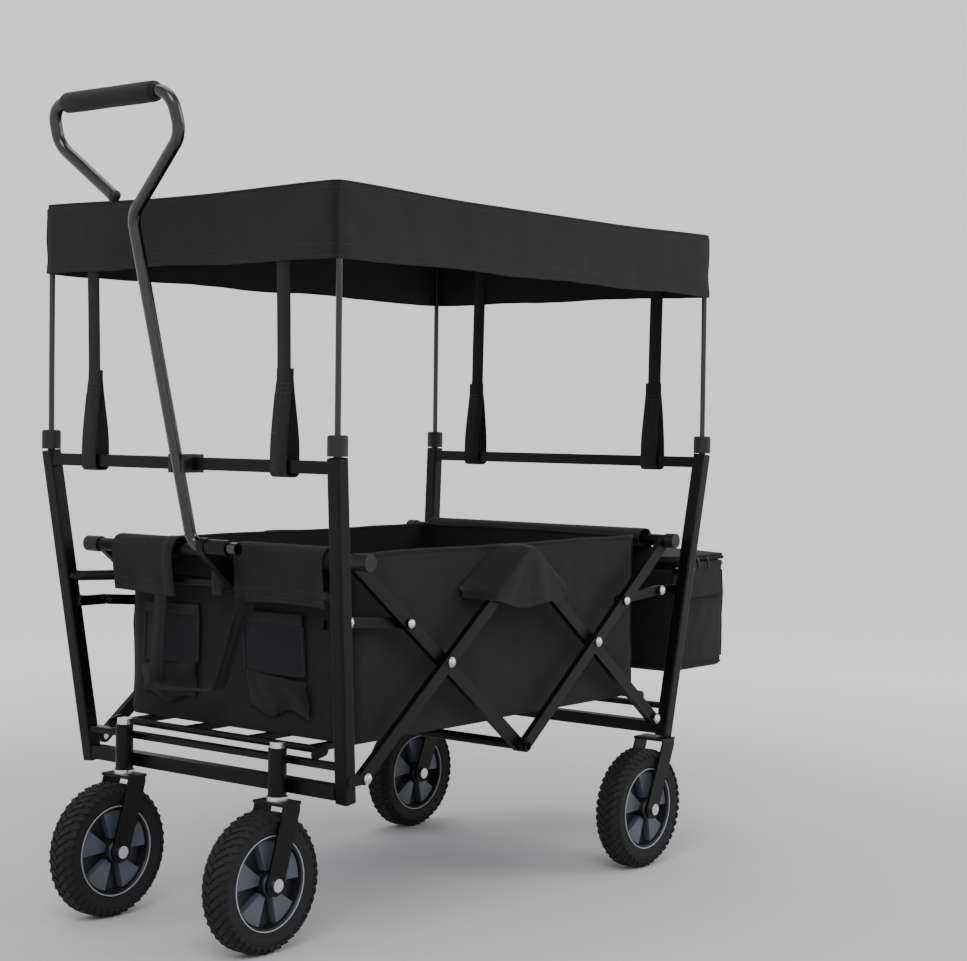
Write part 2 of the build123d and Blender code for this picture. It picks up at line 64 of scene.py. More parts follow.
def add_camera():
    azimuth, elevation, roll = -0.901424, 0.030156, 0.012337
    target = Vector((0.21105, 0.0, 0.58336))
    distance = 3.06079
    back = Vector((math.sin(azimuth) * math.cos(elevation),
                   -math.cos(azimuth) * math.cos(elevation),
                   math.sin(elevation)))
    right = (-back).cross(Vector((0, 0, 1))).normalized()
    up = right.cross(-back)
    x = math.cos(roll) * right + math.sin(roll) * up
    y = -math.sin(roll) * right + math.cos(roll) * up
    data = bpy.data.cameras.new("camera")
    data.sensor_width = 36.0
    data.lens = 73.517
    data.clip_end = 60.0
    cam = bpy.data.objects.new("camera", data)
    bpy.context.scene.collection.objects.link(cam)
    turn = Matrix((x, y, back)).transposed().to_4x4()
    cam.matrix_world = Matrix.Translation(target + back * distance) @ turn
    bpy.context.scene.camera = cam


def area_light(name, place, aim, size, power):
    data = bpy.data.lights.new(name, "AREA")
    data.shape = "RECTANGLE"
    data.size, data.size_y = size
    data.energy = power
    lamp = bpy.data.objects.new(name, data)
    bpy.context.scene.collection.objects.link(lamp)
    direction = Vector(aim) - Vector(place)
    lamp.matrix_world = Matrix.Translation(place) @ direction.to_track_quat("-Z", "Y").to_matrix().to_4x4()


# ---------------------------------------------------------------- shader maths

class Value:
    """A shader socket that can be added, scaled and passed to other nodes."""

    def __init__(self, tree, socket):
        self.tree = tree
        self.socket = socket

    def node(self, kind, inputs, output=0, **settings):
        made = self.tree.nodes.new(kind)
        for key, value in settings.items():
            setattr(made, key, value)
        for key, value in inputs.items():
            if isinstance(value, Value):
                self.tree.links.new(value.socket, made.inputs[key])
            else:
                made.inputs[key].default_value = value
        return Value(self.tree, made.outputs[output])

    def maths(self, operation, other=0.0):
        return self.node("ShaderNodeMath", {0: self, 1: other}, operation=operation)

    def turned(self, operation, other):
        """The same with the other number first."""
        return self.node("ShaderNodeMath", {0: other, 1: self}, operation=operation)

    def __add__(self, other):
        return self.maths("ADD", other)

    def __sub__(self, other):
        return self.maths("SUBTRACT", other)

    def __mul__(self, other):
        return self.maths("MULTIPLY", other)

    def __truediv__(self, other):
        return self.maths("DIVIDE", other)

    __radd__ = __add__
    __rmul__ = __mul__

    def __rsub__(self, other):
        return self.turned("SUBTRACT", other)

    def __rtruediv__(self, other):
        return self.turned("DIVIDE", other)

    def wave(self, pitch):
        """A sine wave that is zero every half pitch."""
        return (self * (2 * math.pi / pitch)).maths("SINE")

    def size(self):
        return self.maths("ABSOLUTE")

    def clamped(self):
        return self.node("ShaderNodeClamp", {0: self})

    def part(self, index):
        return self.node("ShaderNodeSeparateXYZ", {0: self}, output=index)

    def speckle(self, scale, detail=2.0):
        """Noise over a place."""
        return self.node("ShaderNodeTexNoise", {"Vector": self, "Scale": scale, "Detail": detail})

    def colours(self, low, high):
        """A colour between low and high. Each is three numbers."""
        ends = {0: self, 6: (*low, 1.0), 7: (*high, 1.0)}
        return self.node("ShaderNodeMix", ends, output=2, data_type="RGBA")

    def bump(self, distance):
        return self.node("ShaderNodeBump", {"Height": self, "Distance": distance, "Strength": 1.0})


def new_finish(name, rough, metallic=0.0, coat=0.0, sheen=0.0, glint=0.5):
    """A new material, its place on the piece, and its cloth coordinates across and along."""
    made = bpy.data.materials.new(name)
    made.use_nodes = True
    tree = made.node_tree
    constants = {"Roughness": rough, "Metallic": metallic, "Coat Weight": coat, "Coat Roughness": 0.18,
                 "Specular IOR Level": glint, "Sheen Weight": sheen, "Sheen Roughness": 0.45}
    for key, value in constants.items():
        tree.nodes["Principled BSDF"].inputs[key].default_value = value
    coords = tree.nodes.new("ShaderNodeTexCoord")
    uv = Value(tree, coords.outputs["UV"])
    return made, Value(tree, coords.outputs["Object"]), uv.part(0), uv.part(1)


def feed(made, **values):
    """Links values to the material's sockets. An underscore stands for a space."""
    for key, value in values.items():
        socket = made.node_tree.nodes["Principled BSDF"].inputs[key.replace("_", " ")]
        made.node_tree.links.new(value.socket, socket)
    return made


def shade(colour, amount):
    return tuple(c * amount for c in colour)


def tinted(tone, colour, low, high):
    return tone.colours(shade(colour, low), shade(colour, high))


def coated(name, colour, rough, coat=0.0, peel=0.00006, metallic=0.0, glint=0.5):
    """Paint, plating or moulded plastic: fine peel, broad tone changes and rubbed patches."""
    made, place, _, _ = new_finish(name, rough, metallic, coat, glint=glint)
    broad = place.speckle(11.0, 4.0)
    worn = ((place.speckle(70.0, 6.0) - 0.60) * 6.0).clamped()
    return feed(made, Base_Color=tinted(broad * 0.75 + worn * 0.25, colour, 0.75, 1.45),
                Roughness=rough - 0.06 + broad * 0.12 + worn * 0.10,
                Normal=place.speckle(650.0).bump(peel))


def woven(name, colour, pitch, depth):
    """Plain-weave cloth laid out by the piece's own cloth coordinates, in metres."""
    made, place, u, v = new_finish(name, 0.85, sheen=0.07, glint=0.22)
    warp = u.wave(2 * pitch)
    weft = v.wave(2 * pitch)
    over = (warp * weft).maths("GREATER_THAN")
    height = warp.size() * over + weft.size() * (1.0 - over)
    threads = []
    for along, shift in ((u, 0.0), (v, 71.0)):
        count = (along / pitch).maths("FLOOR") + shift
        threads.append(count.node("ShaderNodeTexWhiteNoise", {1: count}, noise_dimensions="1D"))
    slub = threads[0] * over + threads[1] * (1.0 - over)
    broad = place.speckle(6.0, 5.0)
    dust = place.speckle(120.0, 3.0)
    tone = height * 0.34 + slub * 0.22 + broad * 0.34 + dust * 0.16
    return feed(made, Base_Color=tinted(tone, colour, 0.45, 1.55),
                Roughness=0.70 + height * 0.12 + broad * 0.10,
                Normal=(height + slub * 0.25 + dust * 0.15).bump(depth))


def webbing(name, colour, pitch, depth):
    """Strap webbing: slanting ribs that change direction across the strap."""
    made, place, u, v = new_finish(name, 0.8, sheen=0.07, glint=0.25)
    zigzag = (v / 0.006).maths("PINGPONG", 1.0)
    ribs = (u + zigzag * 0.003).wave(pitch)
    grain = place.speckle(500.0)
    return feed(made, Base_Color=tinted(ribs * 0.3 + 0.3 + grain * 0.3, colour, 0.4, 1.7),
                Roughness=0.72 + grain * 0.16, Normal=(ribs + grain * 0.4).bump(depth))


def netting(name, colour, pitch):
    """Open knitted mesh: rows of small holes between crossing threads."""
    made, place, u, v = new_finish(name, 0.7, sheen=0.12, glint=0.25)
    cross = u.wave(pitch).size() * v.wave(pitch).size()
    return feed(made, Base_Color=tinted(place.speckle(300.0), colour, 0.6, 1.5),
                Alpha=1.0 - cross.maths("GREATER_THAN", 0.42) * 0.65, Normal=(1.0 - cross).bump(0.0003))


def rubber(name, colour):
    made, place, _, _ = new_finish(name, 0.82, glint=0.35)
    grain = place.speckle(420.0, 4.0)
    broad = place.speckle(18.0, 5.0)
    return feed(made, Base_Color=tinted(broad * 0.7 + grain * 0.3, colour, 0.6, 1.6),
                Roughness=0.68 + broad * 0.22, Normal=(grain + broad * 0.5).bump(0.00025))


def foamed(name, colour):
    made, place, _, _ = new_finish(name, 0.9, sheen=0.12, glint=0.25)
    cells = place.node("ShaderNodeTexVoronoi", {"Vector": place, "Scale": 900.0})
    grain = place.speckle(260.0, 5.0)
    return feed(made, Base_Color=tinted(cells * 0.6 + grain * 0.4, colour, 0.5, 1.7),
                Roughness=0.78 + grain * 0.2, Normal=(cells + grain).bump(0.0004))


LOOKS = {
    "frame": coated("satin_black", (0.0026, 0.0027, 0.0031), 0.38, glint=0.17),
    "gloss": coated("gloss_black", (0.0032, 0.0033, 0.0038), 0.22, coat=0.35, peel=0.00002),
    "zinc": coated("bright_zinc", (0.62, 0.62, 0.64), 0.26, metallic=1.0, peel=0.00003),
    "plastic": coated("black_plastic", (0.0065, 0.0066, 0.0072), 0.48, peel=0.00010, glint=0.35),
    "panel": coated("blue_grey_plastic", (0.058, 0.068, 0.092), 0.42, peel=0.00005),
    "recess": coated("dark_plastic", (0.006, 0.0065, 0.008), 0.5),
    "lip": coated("rim_line", (0.30, 0.31, 0.36), 0.35),
    "tyre": rubber("tyre_rubber", (0.0068, 0.0068, 0.0074)),
    "foam": foamed("grip_foam", (0.0075, 0.0075, 0.0082)),
    "cloth": woven("oxford_cloth", (0.0074, 0.0074, 0.0083), 0.0011, 0.00035),
    "canopy": woven("canopy_cloth", (0.0074, 0.0074, 0.0083), 0.0009, 0.00028),
    "lining": woven("lining_cloth", (0.0052, 0.0052, 0.0058), 0.0011, 0.0003),
    "web": webbing("webbing", (0.0072, 0.0072, 0.0080), 0.0022, 0.0005),
    "net": netting("pocket_net", (0.0075, 0.0075, 0.0125), 0.0032),
    "thread": coated("thread", (0.020, 0.020, 0.022), 0.7),
}


# ---------------------------------------------------------------- mesh making, in millimetres

def keep_mesh(name, verts, faces, look, uvs=None, sharp=40.0):
    """A finished piece at the origin. uvs holds one pair for each corner of each face."""
    mesh = bpy.data.meshes.new(name)
    mesh.from_pydata([tuple(p) for p in np.asarray(verts, float) * MM], [], faces)
    if uvs is not None:
        layer = mesh.uv_layers.new(name="cloth")
        layer.data.foreach_set("uv", (np.asarray(uvs, float) * MM).ravel())
    work = bmesh.new()
    work.from_mesh(mesh)
    bmesh.ops.recalc_face_normals(work, faces=work.faces)
    work.to_mesh(mesh)
    work.free()
    mesh.polygons.foreach_set("use_smooth", [True] * len(mesh.polygons))
    mesh.set_sharp_from_angle(angle=math.radians(sharp))
    mesh.materials.append(LOOKS[look])
    piece = bpy.data.objects.new(name, mesh)
    bpy.context.scene.collection.objects.link(piece)
    return piece


def grid_faces(n, m, loop):
    """Quads of a grid with n rows and m columns. loop joins the last row to the first."""
    faces = []
    spots = []
    for i in range(n if loop else n - 1):
        for j in range(m - 1):
            a = (i + 1) % n
            faces.append((i * m + j, a * m + j, a * m + j + 1, i * m + j + 1))
            spots.append(((i, j), (i + 1, j), (i + 1, j + 1), (i, j + 1)))
    return faces, spots


def cloth(name, points, thick, look, loop=False, uv=None):
    """A sheet with its own thickness, from a grid of middle points. uv gives their cloth coordinates."""
    p = np.asarray(points, float)
    n, m = p.shape[:2]
    if loop:
        along = np.roll(p, -1, 0) - np.roll(p, 1, 0)
    else:
        along = np.gradient(p, axis=0)
    across = np.gradient(p, axis=1)
    normal = np.cross(along, across)
    length = np.linalg.norm(normal, axis=2, keepdims=True)
    normal = normal / np.maximum(length, 1e-9)
    verts = np.concatenate([(p + normal * half).reshape(-1, 3) for half in (thick / 2, -thick / 2)])
    if uv is None:
        ring = np.concatenate([p, p[:1]]) if loop else p
        us = np.concatenate([[0], np.cumsum(np.linalg.norm(np.diff(ring[:, m // 2], axis=0), axis=1))])
        vs = np.concatenate([[0], np.cumsum(np.linalg.norm(np.diff(p[n // 2], axis=0), axis=1))])
        uv = np.stack(np.meshgrid(us, vs, indexing="ij"), 2)
    faces, spots = grid_faces(n, m, loop)
    uvs = [uv[i, j] for quad in spots for i, j in quad]
    back = n * m
    more = [tuple(back + k for k in reversed(f)) for f in faces]
    uvs += [uv[i, j] for quad in spots for i, j in reversed(quad)]
    rims = []
    for i in range(n if loop else n - 1):
        a = (i + 1) % n
        rims.append(((i * m, back + i * m, back + a * m, a * m), ((i, 0), (i, 0), (i + 1, 0), (i + 1, 0))))
        rims.append(((i * m + m - 1, a * m + m - 1, back + a * m + m - 1, back + i * m + m - 1),
                     ((i, m - 1), (i + 1, m - 1), (i + 1, m - 1), (i, m - 1))))
    if not loop:
        for j in range(m - 1):
            rims.append(((j, j + 1, back + j + 1, back + j), ((0, j), (0, j + 1), (0, j + 1), (0, j))))
            e = (n - 1) * m
            rims.append(((e + j, back + e + j, back + e + j + 1, e + j + 1),
                         ((n - 1, j), (n - 1, j), (n - 1, j + 1), (n - 1, j + 1))))
    for quad, where in rims:
        more.append(quad)
        uvs += [uv[i, j] for i, j in where]
    return keep_mesh(name, verts, faces + more, look, uvs)


def loft(name, rings, look, closed=False, planar=False, sharp=40.0):
    """A body through rings of points. closed joins the last ring to the first, else the ends are capped."""
    r = np.asarray(rings, float)
    k, s = r.shape[:2]
    around = np.concatenate([r, r[:, :1]], axis=1)
    vs = np.concatenate([[0], np.cumsum(np.linalg.norm(np.diff(around[k // 2], axis=0), axis=1))])
    full = np.concatenate([r, r[:1]])
    us = np.concatenate([[0], np.cumsum(np.linalg.norm(np.diff(full.mean(axis=1), axis=0), axis=1))])
    faces = []
    uvs = []
    for i in range(k if closed else k - 1):
        a = (i + 1) % k
        for j in range(s):
            b = (j + 1) % s
            faces.append((i * s + j, a * s + j, a * s + b, i * s + b))
            if planar:
                uvs += [r[i, j, :2], r[a, j, :2], r[a, b, :2], r[i, b, :2]]
            else:
                uvs += [(us[i], vs[j]), (us[i + 1], vs[j]), (us[i + 1], vs[j + 1]), (us[i], vs[j + 1])]
    if not closed:
        for i in (0, k - 1):
            faces.append(tuple(i * s + j for j in range(s)))
            uvs += [r[i, j, :2] for j in range(s)]
    return keep_mesh(name, r.reshape(-1, 3), faces, look, uvs, sharp)


def smooth_path(points, each=8):
    """A Catmull-Rom curve through the points."""
    p = np.asarray(points, float)
    p = np.concatenate([[2 * p[0] - p[1]], p, [2 * p[-1] - p[-2]]])
    out = []
    for i in range(1, len(p) - 2):
        for t in np.linspace(0, 1, each, endpoint=False):
            out.append(0.5 * (2 * p[i] + (p[i + 1] - p[i - 1]) * t
                              + (2 * p[i - 1] - 5 * p[i] + 4 * p[i + 1] - p[i + 2]) * t ** 2
                              + (3 * p[i] - p[i - 1] - 3 * p[i + 1] + p[i + 2]) * t ** 3))
    out.append(p[-2])
    return np.array(out)


def unit(v):
    return v / np.maximum(np.linalg.norm(v, axis=-1, keepdims=True), 1e-9)


def ribbon(name, path, across, width, thick, look, closed=False):
    """A flat strap along a path. across and width may change along it."""
    p = np.asarray(path, float)
    w = unit(np.broadcast_to(np.asarray(across, float), p.shape))
    t = unit(np.roll(p, -1, 0) - np.roll(p, 1, 0) if closed else np.gradient(p, axis=0))
    w = unit(w - t * np.sum(w * t, axis=1, keepdims=True))
    n = np.cross(t, w)
    half = np.broadcast_to(np.asarray(width, float) / 2, (len(p),))
    edge = thick * 0.45
    rings = []
    for a, b in ((-1, -0.2), (-1, 0.2), (0, 0.5), (1, 0.2), (1, -0.2), (0, -0.5)):
        if a:
            rings.append(p + w * (a * half)[:, None] + n * (b * thick))
            rings.append(p + w * (a * (half - edge))[:, None] + n * (math.copysign(0.5, b) * thick))
        else:
            rings.append(p + n * (b * thick))
    stack = np.stack([rings[k] for k in (0, 2, 3, 4, 6, 5, 7, 8, 9, 1)], axis=1)
    return loft(name, stack, look, closed=closed)


def tube(name, path, radius, look, closed=False, sides=10):
    """A round tube along a path, with capped ends."""
    p = np.asarray(path, float)
    t = unit(np.roll(p, -1, 0) - np.roll(p, 1, 0) if closed else np.gradient(p, axis=0))
    spare = np.array([0.0, 0.0, 1.0]) if np.abs(t[:, 2]).max() < 0.95 else np.array([0.0, 1.0, 0.0])
    a = unit(np.cross(t, spare))
    b = np.cross(t, a)
    rad = np.broadcast_to(np.asarray(radius, float), (len(p),))[:, None]
    angles = np.linspace(0, 2 * math.pi, sides, endpoint=False)
    rings = np.stack([p + (a * math.cos(q) + b * math.sin(q)) * rad for q in angles], axis=1)
    return loft(name, rings, look, closed=closed)


def turned(name, profile, centre, look, segments=96, sharp=35.0):
    """A ring turned about the Y axis through centre, from a closed profile of (radius, y)."""
    rings = []
    for q in np.linspace(0, 2 * math.pi, segments, endpoint=False):
        rings.append([centre + np.array((r * math.cos(q), y, r * math.sin(q))) for r, y in profile])
    return loft(name, rings, look, closed=True, sharp=sharp)


def outline(half_x, half_y, radius, count):
    """Evenly spaced points round a rounded rectangle, their outward directions and distances round it."""
    fine = []
    for cx, cy, start in ((half_x - radius, half_y - radius, 0), (radius - half_x, half_y - radius, 90),
                          (radius - half_x, radius - half_y, 180), (half_x - radius, radius - half_y, 270)):
        for q in np.radians(np.linspace(start, start + 90, 24)):
            fine.append((cx + radius * math.cos(q), cy + radius * math.sin(q), math.cos(q), math.sin(q)))
    fine = np.array(fine + fine[:1])
    gaps = np.concatenate([[0], np.cumsum(np.hypot(*np.diff(fine[:, :2], axis=0).T))])
    s = np.linspace(0, gaps[-1], count, endpoint=False)
    cols = [np.interp(s, gaps, fine[:, c]) for c in range(4)]
    return np.stack(cols[:2], 1), unit(np.stack(cols[2:], 1)), s, gaps[-1]


def ripple(a, b, seed, scale):
    """Smooth noise between about -1 and 1 over two distances in millimetres, the same on every run."""
    rng = np.random.default_rng(seed)
    total = np.zeros(np.broadcast(a, b).shape)
    for k in range(3):
        for _ in range(4):
            turn, phase = rng.uniform(0, 2 * math.pi, 2)
            rate = 2 * math.pi / scale * 1.9 ** k * rng.uniform(0.7, 1.3)
            total = total + np.sin((a * math.cos(turn) + b * math.sin(turn)) * rate + phase) / 2.1 ** k
    return total / 4.5


def bell(x, wide):
    return np.exp(-(x / wide) ** 2)


def ease(x, start, end):
    t = np.clip((x - start) / (end - start), 0, 1)
    return t * t * (3 - 2 * t)


def hoop(centre, a, b, radius, count=32):
    """Points round a centre, in the plane of two directions."""
    q = np.linspace(0, 2 * math.pi, count, endpoint=False)
    return centre + np.outer(np.cos(q), a) * radius + np.outer(np.sin(q), b) * radius


def small_mesh(name, rings, look):
    """A little unit shape to be repeated. It is removed once the copies are made."""
    return loft(name, rings, look, sharp=30.0)


def scatter(name, shape, places, look):
    """Copies of a small shape at (position, direction, up) places, made with Geometry Nodes."""
    points = bpy.data.meshes.new(name + "_points")
    points.from_pydata([tuple(np.asarray(p, float) * MM) for p, _, _ in places], [], [])
    turn = points.attributes.new("turn", "FLOAT_VECTOR", "POINT")
    angles = []
    for _, direction, up in places:
        x = Vector(direction).normalized()
        z = Vector(up)
        z = (z - x * z.dot(x)).normalized()
        y = z.cross(x)
        angles += list(Matrix((x, y, z)).transposed().to_euler())
    turn.data.foreach_set("vector", angles)
    holder = bpy.data.objects.new(name + "_holder", points)
    bpy.context.scene.collection.objects.link(holder)
    tree = bpy.data.node_groups.new(name, "GeometryNodeTree")
    tree.interface.new_socket("Geometry", in_out="INPUT", socket_type="NodeSocketGeometry")
    wanted = {}
    for label, kind in (("Shape", "NodeSocketObject"), ("Finish", "NodeSocketMaterial")):
        wanted[label] = tree.interface.new_socket(label, in_out="INPUT", socket_type=kind).identifier
    tree.interface.new_socket("Geometry", in_out="OUTPUT", socket_type="NodeSocketGeometry")
    start = tree.nodes.new("NodeGroupInput")
    end = tree.nodes.new("NodeGroupOutput")
    info = tree.nodes.new("GeometryNodeObjectInfo")
    named = tree.nodes.new("GeometryNodeInputNamedAttribute")
    named.data_type = "FLOAT_VECTOR"
    named.inputs["Name"].default_value = "turn"
    spin = tree.nodes.new("FunctionNodeEulerToRotation")
    copy = tree.nodes.new("GeometryNodeInstanceOnPoints")
    real = tree.nodes.new("GeometryNodeRealizeInstances")
    finish = tree.nodes.new("GeometryNodeSetMaterial")
    link = tree.links.new
    link(start.outputs["Geometry"], copy.inputs["Points"])
    link(start.outputs["Shape"], info.inputs["Object"])
    link(info.outputs["Geometry"], copy.inputs["Instance"])
    link(named.outputs["Attribute"], spin.inputs["Euler"])
    link(spin.outputs["Rotation"], copy.inputs["Rotation"])
    link(copy.outputs["Instances"], real.inputs["Geometry"])
    link(real.outputs["Geometry"], finish.inputs["Geometry"])
    link(start.outputs["Finish"], finish.inputs["Material"])
    link(finish.outputs["Geometry"], end.inputs["Geometry"])
    step = holder.modifiers.new("copies", "NODES")
    step.node_group = tree
    step[wanted["Shape"]] = shape
    step[wanted["Finish"]] = LOOKS[look]
    bpy.context.view_layer.update()
    graph = bpy.context.evaluated_depsgraph_get()
    mesh = bpy.data.meshes.new_from_object(holder.evaluated_get(graph))
    mesh.name = name
    bpy.data.objects.remove(holder)
    piece = bpy.data.objects.new(name, mesh)
    bpy.context.scene.collection.objects.link(piece)
    return piece


def spaced(path, step, closed=False):
    """Points and directions every step along a path, with half a step clear at each end."""
    p = np.asarray(path, float)
    if closed:
        p = np.concatenate([p, p[:1]])
    gaps = np.concatenate([[0], np.cumsum(np.linalg.norm(np.diff(p, axis=0), axis=1))])
    s = np.arange(step / 2, gaps[-1], step)
    at = np.stack([np.interp(s, gaps, p[:, c]) for c in range(3)], 1)
    near = np.stack([np.interp(s + 0.2, gaps, p[:, c]) for c in range(3)], 1)
    before = np.stack([np.interp(s - 0.2, gaps, p[:, c]) for c in range(3)], 1)
    return at, unit(near - before)


def stitch_places(path, up, step=4.2, closed=False):
    at, direction = spaced(path, step, closed)
    ups = np.broadcast_to(np.asarray(up, float), at.shape) if np.ndim(up) == 1 else None
    if ups is None:
        p = np.asarray(path, float)
        nearest = [int(np.argmin(np.sum((p - q) ** 2, axis=1))) for q in at]
        ups = np.asarray(up, float)[nearest]
    return [(tuple(a), tuple(d), tuple(u)) for a, d, u in zip(at, direction, ups)]


def little_stitch():
    rings = []
    for x, size in ((-1.4, 0.12), (-1.0, 0.36), (0.0, 0.42), (1.0, 0.36), (1.4, 0.12)):
        rings.append(hoop((x, 0, 0), (0, 1, 0), (0, 0, 1), size, 6))
    return small_mesh("stitch_shape", rings, "thread")


def carry(piece, body):
    """Rides on a body."""
    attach(piece, body)
    return piece


def soft(piece):
    """Rides on the front frame, with its own copy of its mesh."""
    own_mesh(carry(piece, "front_frame"))
    return piece


def sewn(name, places):
    return scatter(name + "_stitches", STITCH, places, "thread")


def node_middle(name):
    low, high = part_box(name)
    return (np.array(low) + np.array(high)) / 2 / MM


# ---------------------------------------------------------------- basket

BASKET = (323.5, 211.5, 20.0)
BASKET_TOP = 503
BASKET_FLOOR = 261.0
WALL_ROWS = 44
STITCH = little_stitch()
ROUND = 288


def basket_wall():
    """One loop of cloth: the walls, turned in at the bottom to make the floor."""
    flat, out, s, total = outline(*BASKET, ROUND)
    rows = np.concatenate([np.linspace(BASKET_TOP, 268, WALL_ROWS), [263.5, 261.2]])
    points = []
    uv = []
    side = np.abs(out[:, 1])
    for z in rows:
        up = (z - BASKET_FLOOR) / (BASKET_TOP - BASKET_FLOOR)
        belly = -3.2 * math.sin(math.pi * up) ** 0.8
        folds = 1.7 * ripple(s, z * 0.45, 4, 170.0) + 0.9 * ripple(s, z, 9, 62.0)
        fixed = ease(z, BASKET_TOP, 480) * ease(z, BASKET_FLOOR, 300)
        crease = -1.3 * bell(z - 437, 2.2) * side
        slack = 2.4 * np.sin(s / 61.0 + 0.7) * ease(z, 330, 275) * (0.4 + 0.6 * (1 - side))
        near_end = bell(np.abs(flat[:, 0]) - 300, 60)
        drag = side * 1.5 * np.sin((flat[:, 0] - z) / 23.0) * near_end * ease(z, 300, 400)
        move = belly * (0.35 + 0.65 * side) + folds * fixed + crease + (slack + drag) * fixed
        dip = 1.6 * ripple(s, 0 * s, 12, 240.0) * ease(z, 470, BASKET_TOP)
        ring = np.stack([flat[:, 0] + out[:, 0] * move, flat[:, 1] + out[:, 1] * move, z + dip], 1)
        if z < 265:
            ring[:, :2] *= 1 - (265 - z) / 600
        points.append(ring)
        uv.append(np.stack([np.append(s, total), np.full(ROUND + 1, BASKET_TOP - z)], 1))
    last = points[-1]
    for keep in (0.97, 0.9, 0.75, 0.5, 0.25, 0.02):
        ring = last * (keep, keep, 1)
        ring[:, 2] = BASKET_FLOOR + 0.5 * ripple(ring[:, 0], ring[:, 1], 3, 120.0) * min(1, (1 - keep) * 8)
        ring[:, 2] = np.maximum(ring[:, 2], 260.4)
        points.append(ring)
        uv.append(np.concatenate([ring[:, :2], ring[:1, :2]]))
    grid = np.stack(points, 1)
    return cloth("basket_body", grid, 1.8, "cloth", loop=True, uv=np.stack(uv, 1)), grid


def on_wall(grid, z, lift):
    """The line on the wall at a height, lifted off the cloth, with its outward directions."""
    column = int(np.argmin(np.abs(grid[0, :WALL_ROWS, 2] - z)))
    line = grid[:, column].copy()
    _, out, _, _ = outline(*BASKET, ROUND)
    line[:, :2] += out * lift
    line[:, 2] = z
    normal = np.concatenate([out, np.zeros((ROUND, 1))], 1)
    return line, normal


def make_basket():
    body, grid = basket_wall()
    soft(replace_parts(body, "basket"))
    top = grid[:, 0].copy()
    top[:, 2] -= 0.4
    soft(tube("basket_top_roll", top, 2.6, "cloth", closed=True, sides=10))
    places = []
    for z in (439.0, 434.5, 496.0):
        line, normal = on_wall(grid, z, 1.05)
        at = stitch_places(line, normal, closed=True)
        places += [q for q in at if z > 490 or abs(q[0][1]) > 206]
    soft(sewn("basket", places))
    corners = []
    for k, (sx, sy) in enumerate(((-1, -1), (-1, 1), (1, -1), (1, 1))):
        zs = np.linspace(498, 268, 40)
        idx = int(np.argmin(np.abs(grid[:, 10, 0] - sx * 317) + np.abs(grid[:, 10, 1] - sy * 205)))
        wall = grid[idx, :WALL_ROWS]
        line = np.stack([np.interp(-zs, -wall[:, 2], wall[:, c]) for c in range(3)], 1)
        line[:, :2] += np.array([sx, sy]) * 0.9
        corners.append(line)
    for k, line in enumerate(corners):
        soft(tube(f"basket_corner_seam_{k}", line, 1.5, "cloth", sides=8))
    return grid


def floor_board():
    """A padded board in four panels, sewn across between them."""
    flat, out, _, _ = outline(317.0, 205.0, 12.0, 160)
    rings = []
    for inset, z in ((6, 262.6), (1.5, 263.6), (0, 266.2), (1.2, 268.6), (4, 269.6)):
        rings.append(np.concatenate([flat - out * inset, np.full((160, 1), z)], 1))
    for keep in (0.96, 0.9, 0.8, 0.68, 0.55, 0.42, 0.3, 0.18, 0.08, 0.01):
        xy = (flat - out * 4) * keep
        x = xy[:, 0]
        groove = sum(bell(x - at, 3.5) for at in (-158.0, 0.0, 158.0))
        z = 269.9 - 1.6 * groove + 0.25 * ripple(x, xy[:, 1], 31, 60.0)
        rings.append(np.concatenate([xy, z[:, None]], 1))
    pad = loft("floor_board", rings, "lining", planar=True, sharp=60.0)
    soft(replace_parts(pad, "floor_pad"))
    places = []
    for x in (-163.0, -153.0, -5.0, 5.0, 153.0, 163.0):
        places += stitch_places([(x, -196, 269.9), (x, 196, 269.9)], (0, 0, 1.0), 5.0)
    soft(sewn("floor_board", places))


def hem_flap(name, end, y0, y1, seed):
    """Cloth folded over the cross tube, hanging down outside the basket's end."""
    ys = np.linspace(y0, y1, max(8, int(abs(y1 - y0) / 5)))
    drop = [(-325.5, 499), (-329, 506.5), (-337, 511.5), (-349, 513.0), (-359.5, 509.3), (-364.6, 499.0),
            (-364.9, 488), (-363.5, 472), (-361.5, 454), (-359.5, 436)]
    line = smooth_path([(x, 0, z) for x, z in drop], 5)
    far = ease(line[:, 2], 500, 440) * (np.arange(len(line)) > 22)
    grid = []
    for y in ys:
        p = line.copy()
        wave = 2.0 * ripple(y, p[:, 2] * 0.5, seed, 90.0) * far - 2.6 * far
        edge = 3.0 * bell(min(abs(y - y0), abs(y - y1)), 9.0) * far
        p[:, 0] = end * -(p[:, 0] - wave - edge)
        p[:, 1] = y
        p[:, 2] += 1.6 * math.sin(y / 37.0 + seed) * far
        grid.append(p)
    grid = np.array(grid)
    flap = cloth(name, grid, 1.4, "cloth")
    soft(flap)
    rows = []
    for inset in (3, 6):
        row = grid[:, -inset].copy()
        row[:, 0] += end * 0.85
        rows += stitch_places(row, (float(end), 0, 0))
    for side in (1, -2):
        row = grid[side, 26:-3].copy()
        row[:, 0] += end * 0.85
        rows += stitch_places(row, (float(end), 0, 0))
    soft(sewn(name, rows))


def hem_sleeve(name, spans, body, node):
    """Cloth tubes sewn round the cross tube, puckered at their seam."""
    x, _, z = node_middle(node)
    for k, (y0, y1) in enumerate(spans):
        rings = []
        for y in np.linspace(y0, y1, int((y1 - y0) / 4)):
            q = np.linspace(0, 2 * math.pi, 28, endpoint=False)
            r = 11.0 + 0.5 * np.sin(y / 7.0 + 3 * q) + 0.3 * np.sin(y / 2.7)
            rings.append(np.stack([x + r * np.cos(q), np.full(28, y), z + r * np.sin(q)], 1))
        piece = loft(f"{name}_{k}", rings, "cloth")
        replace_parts(piece, node)
        carry(piece, body)


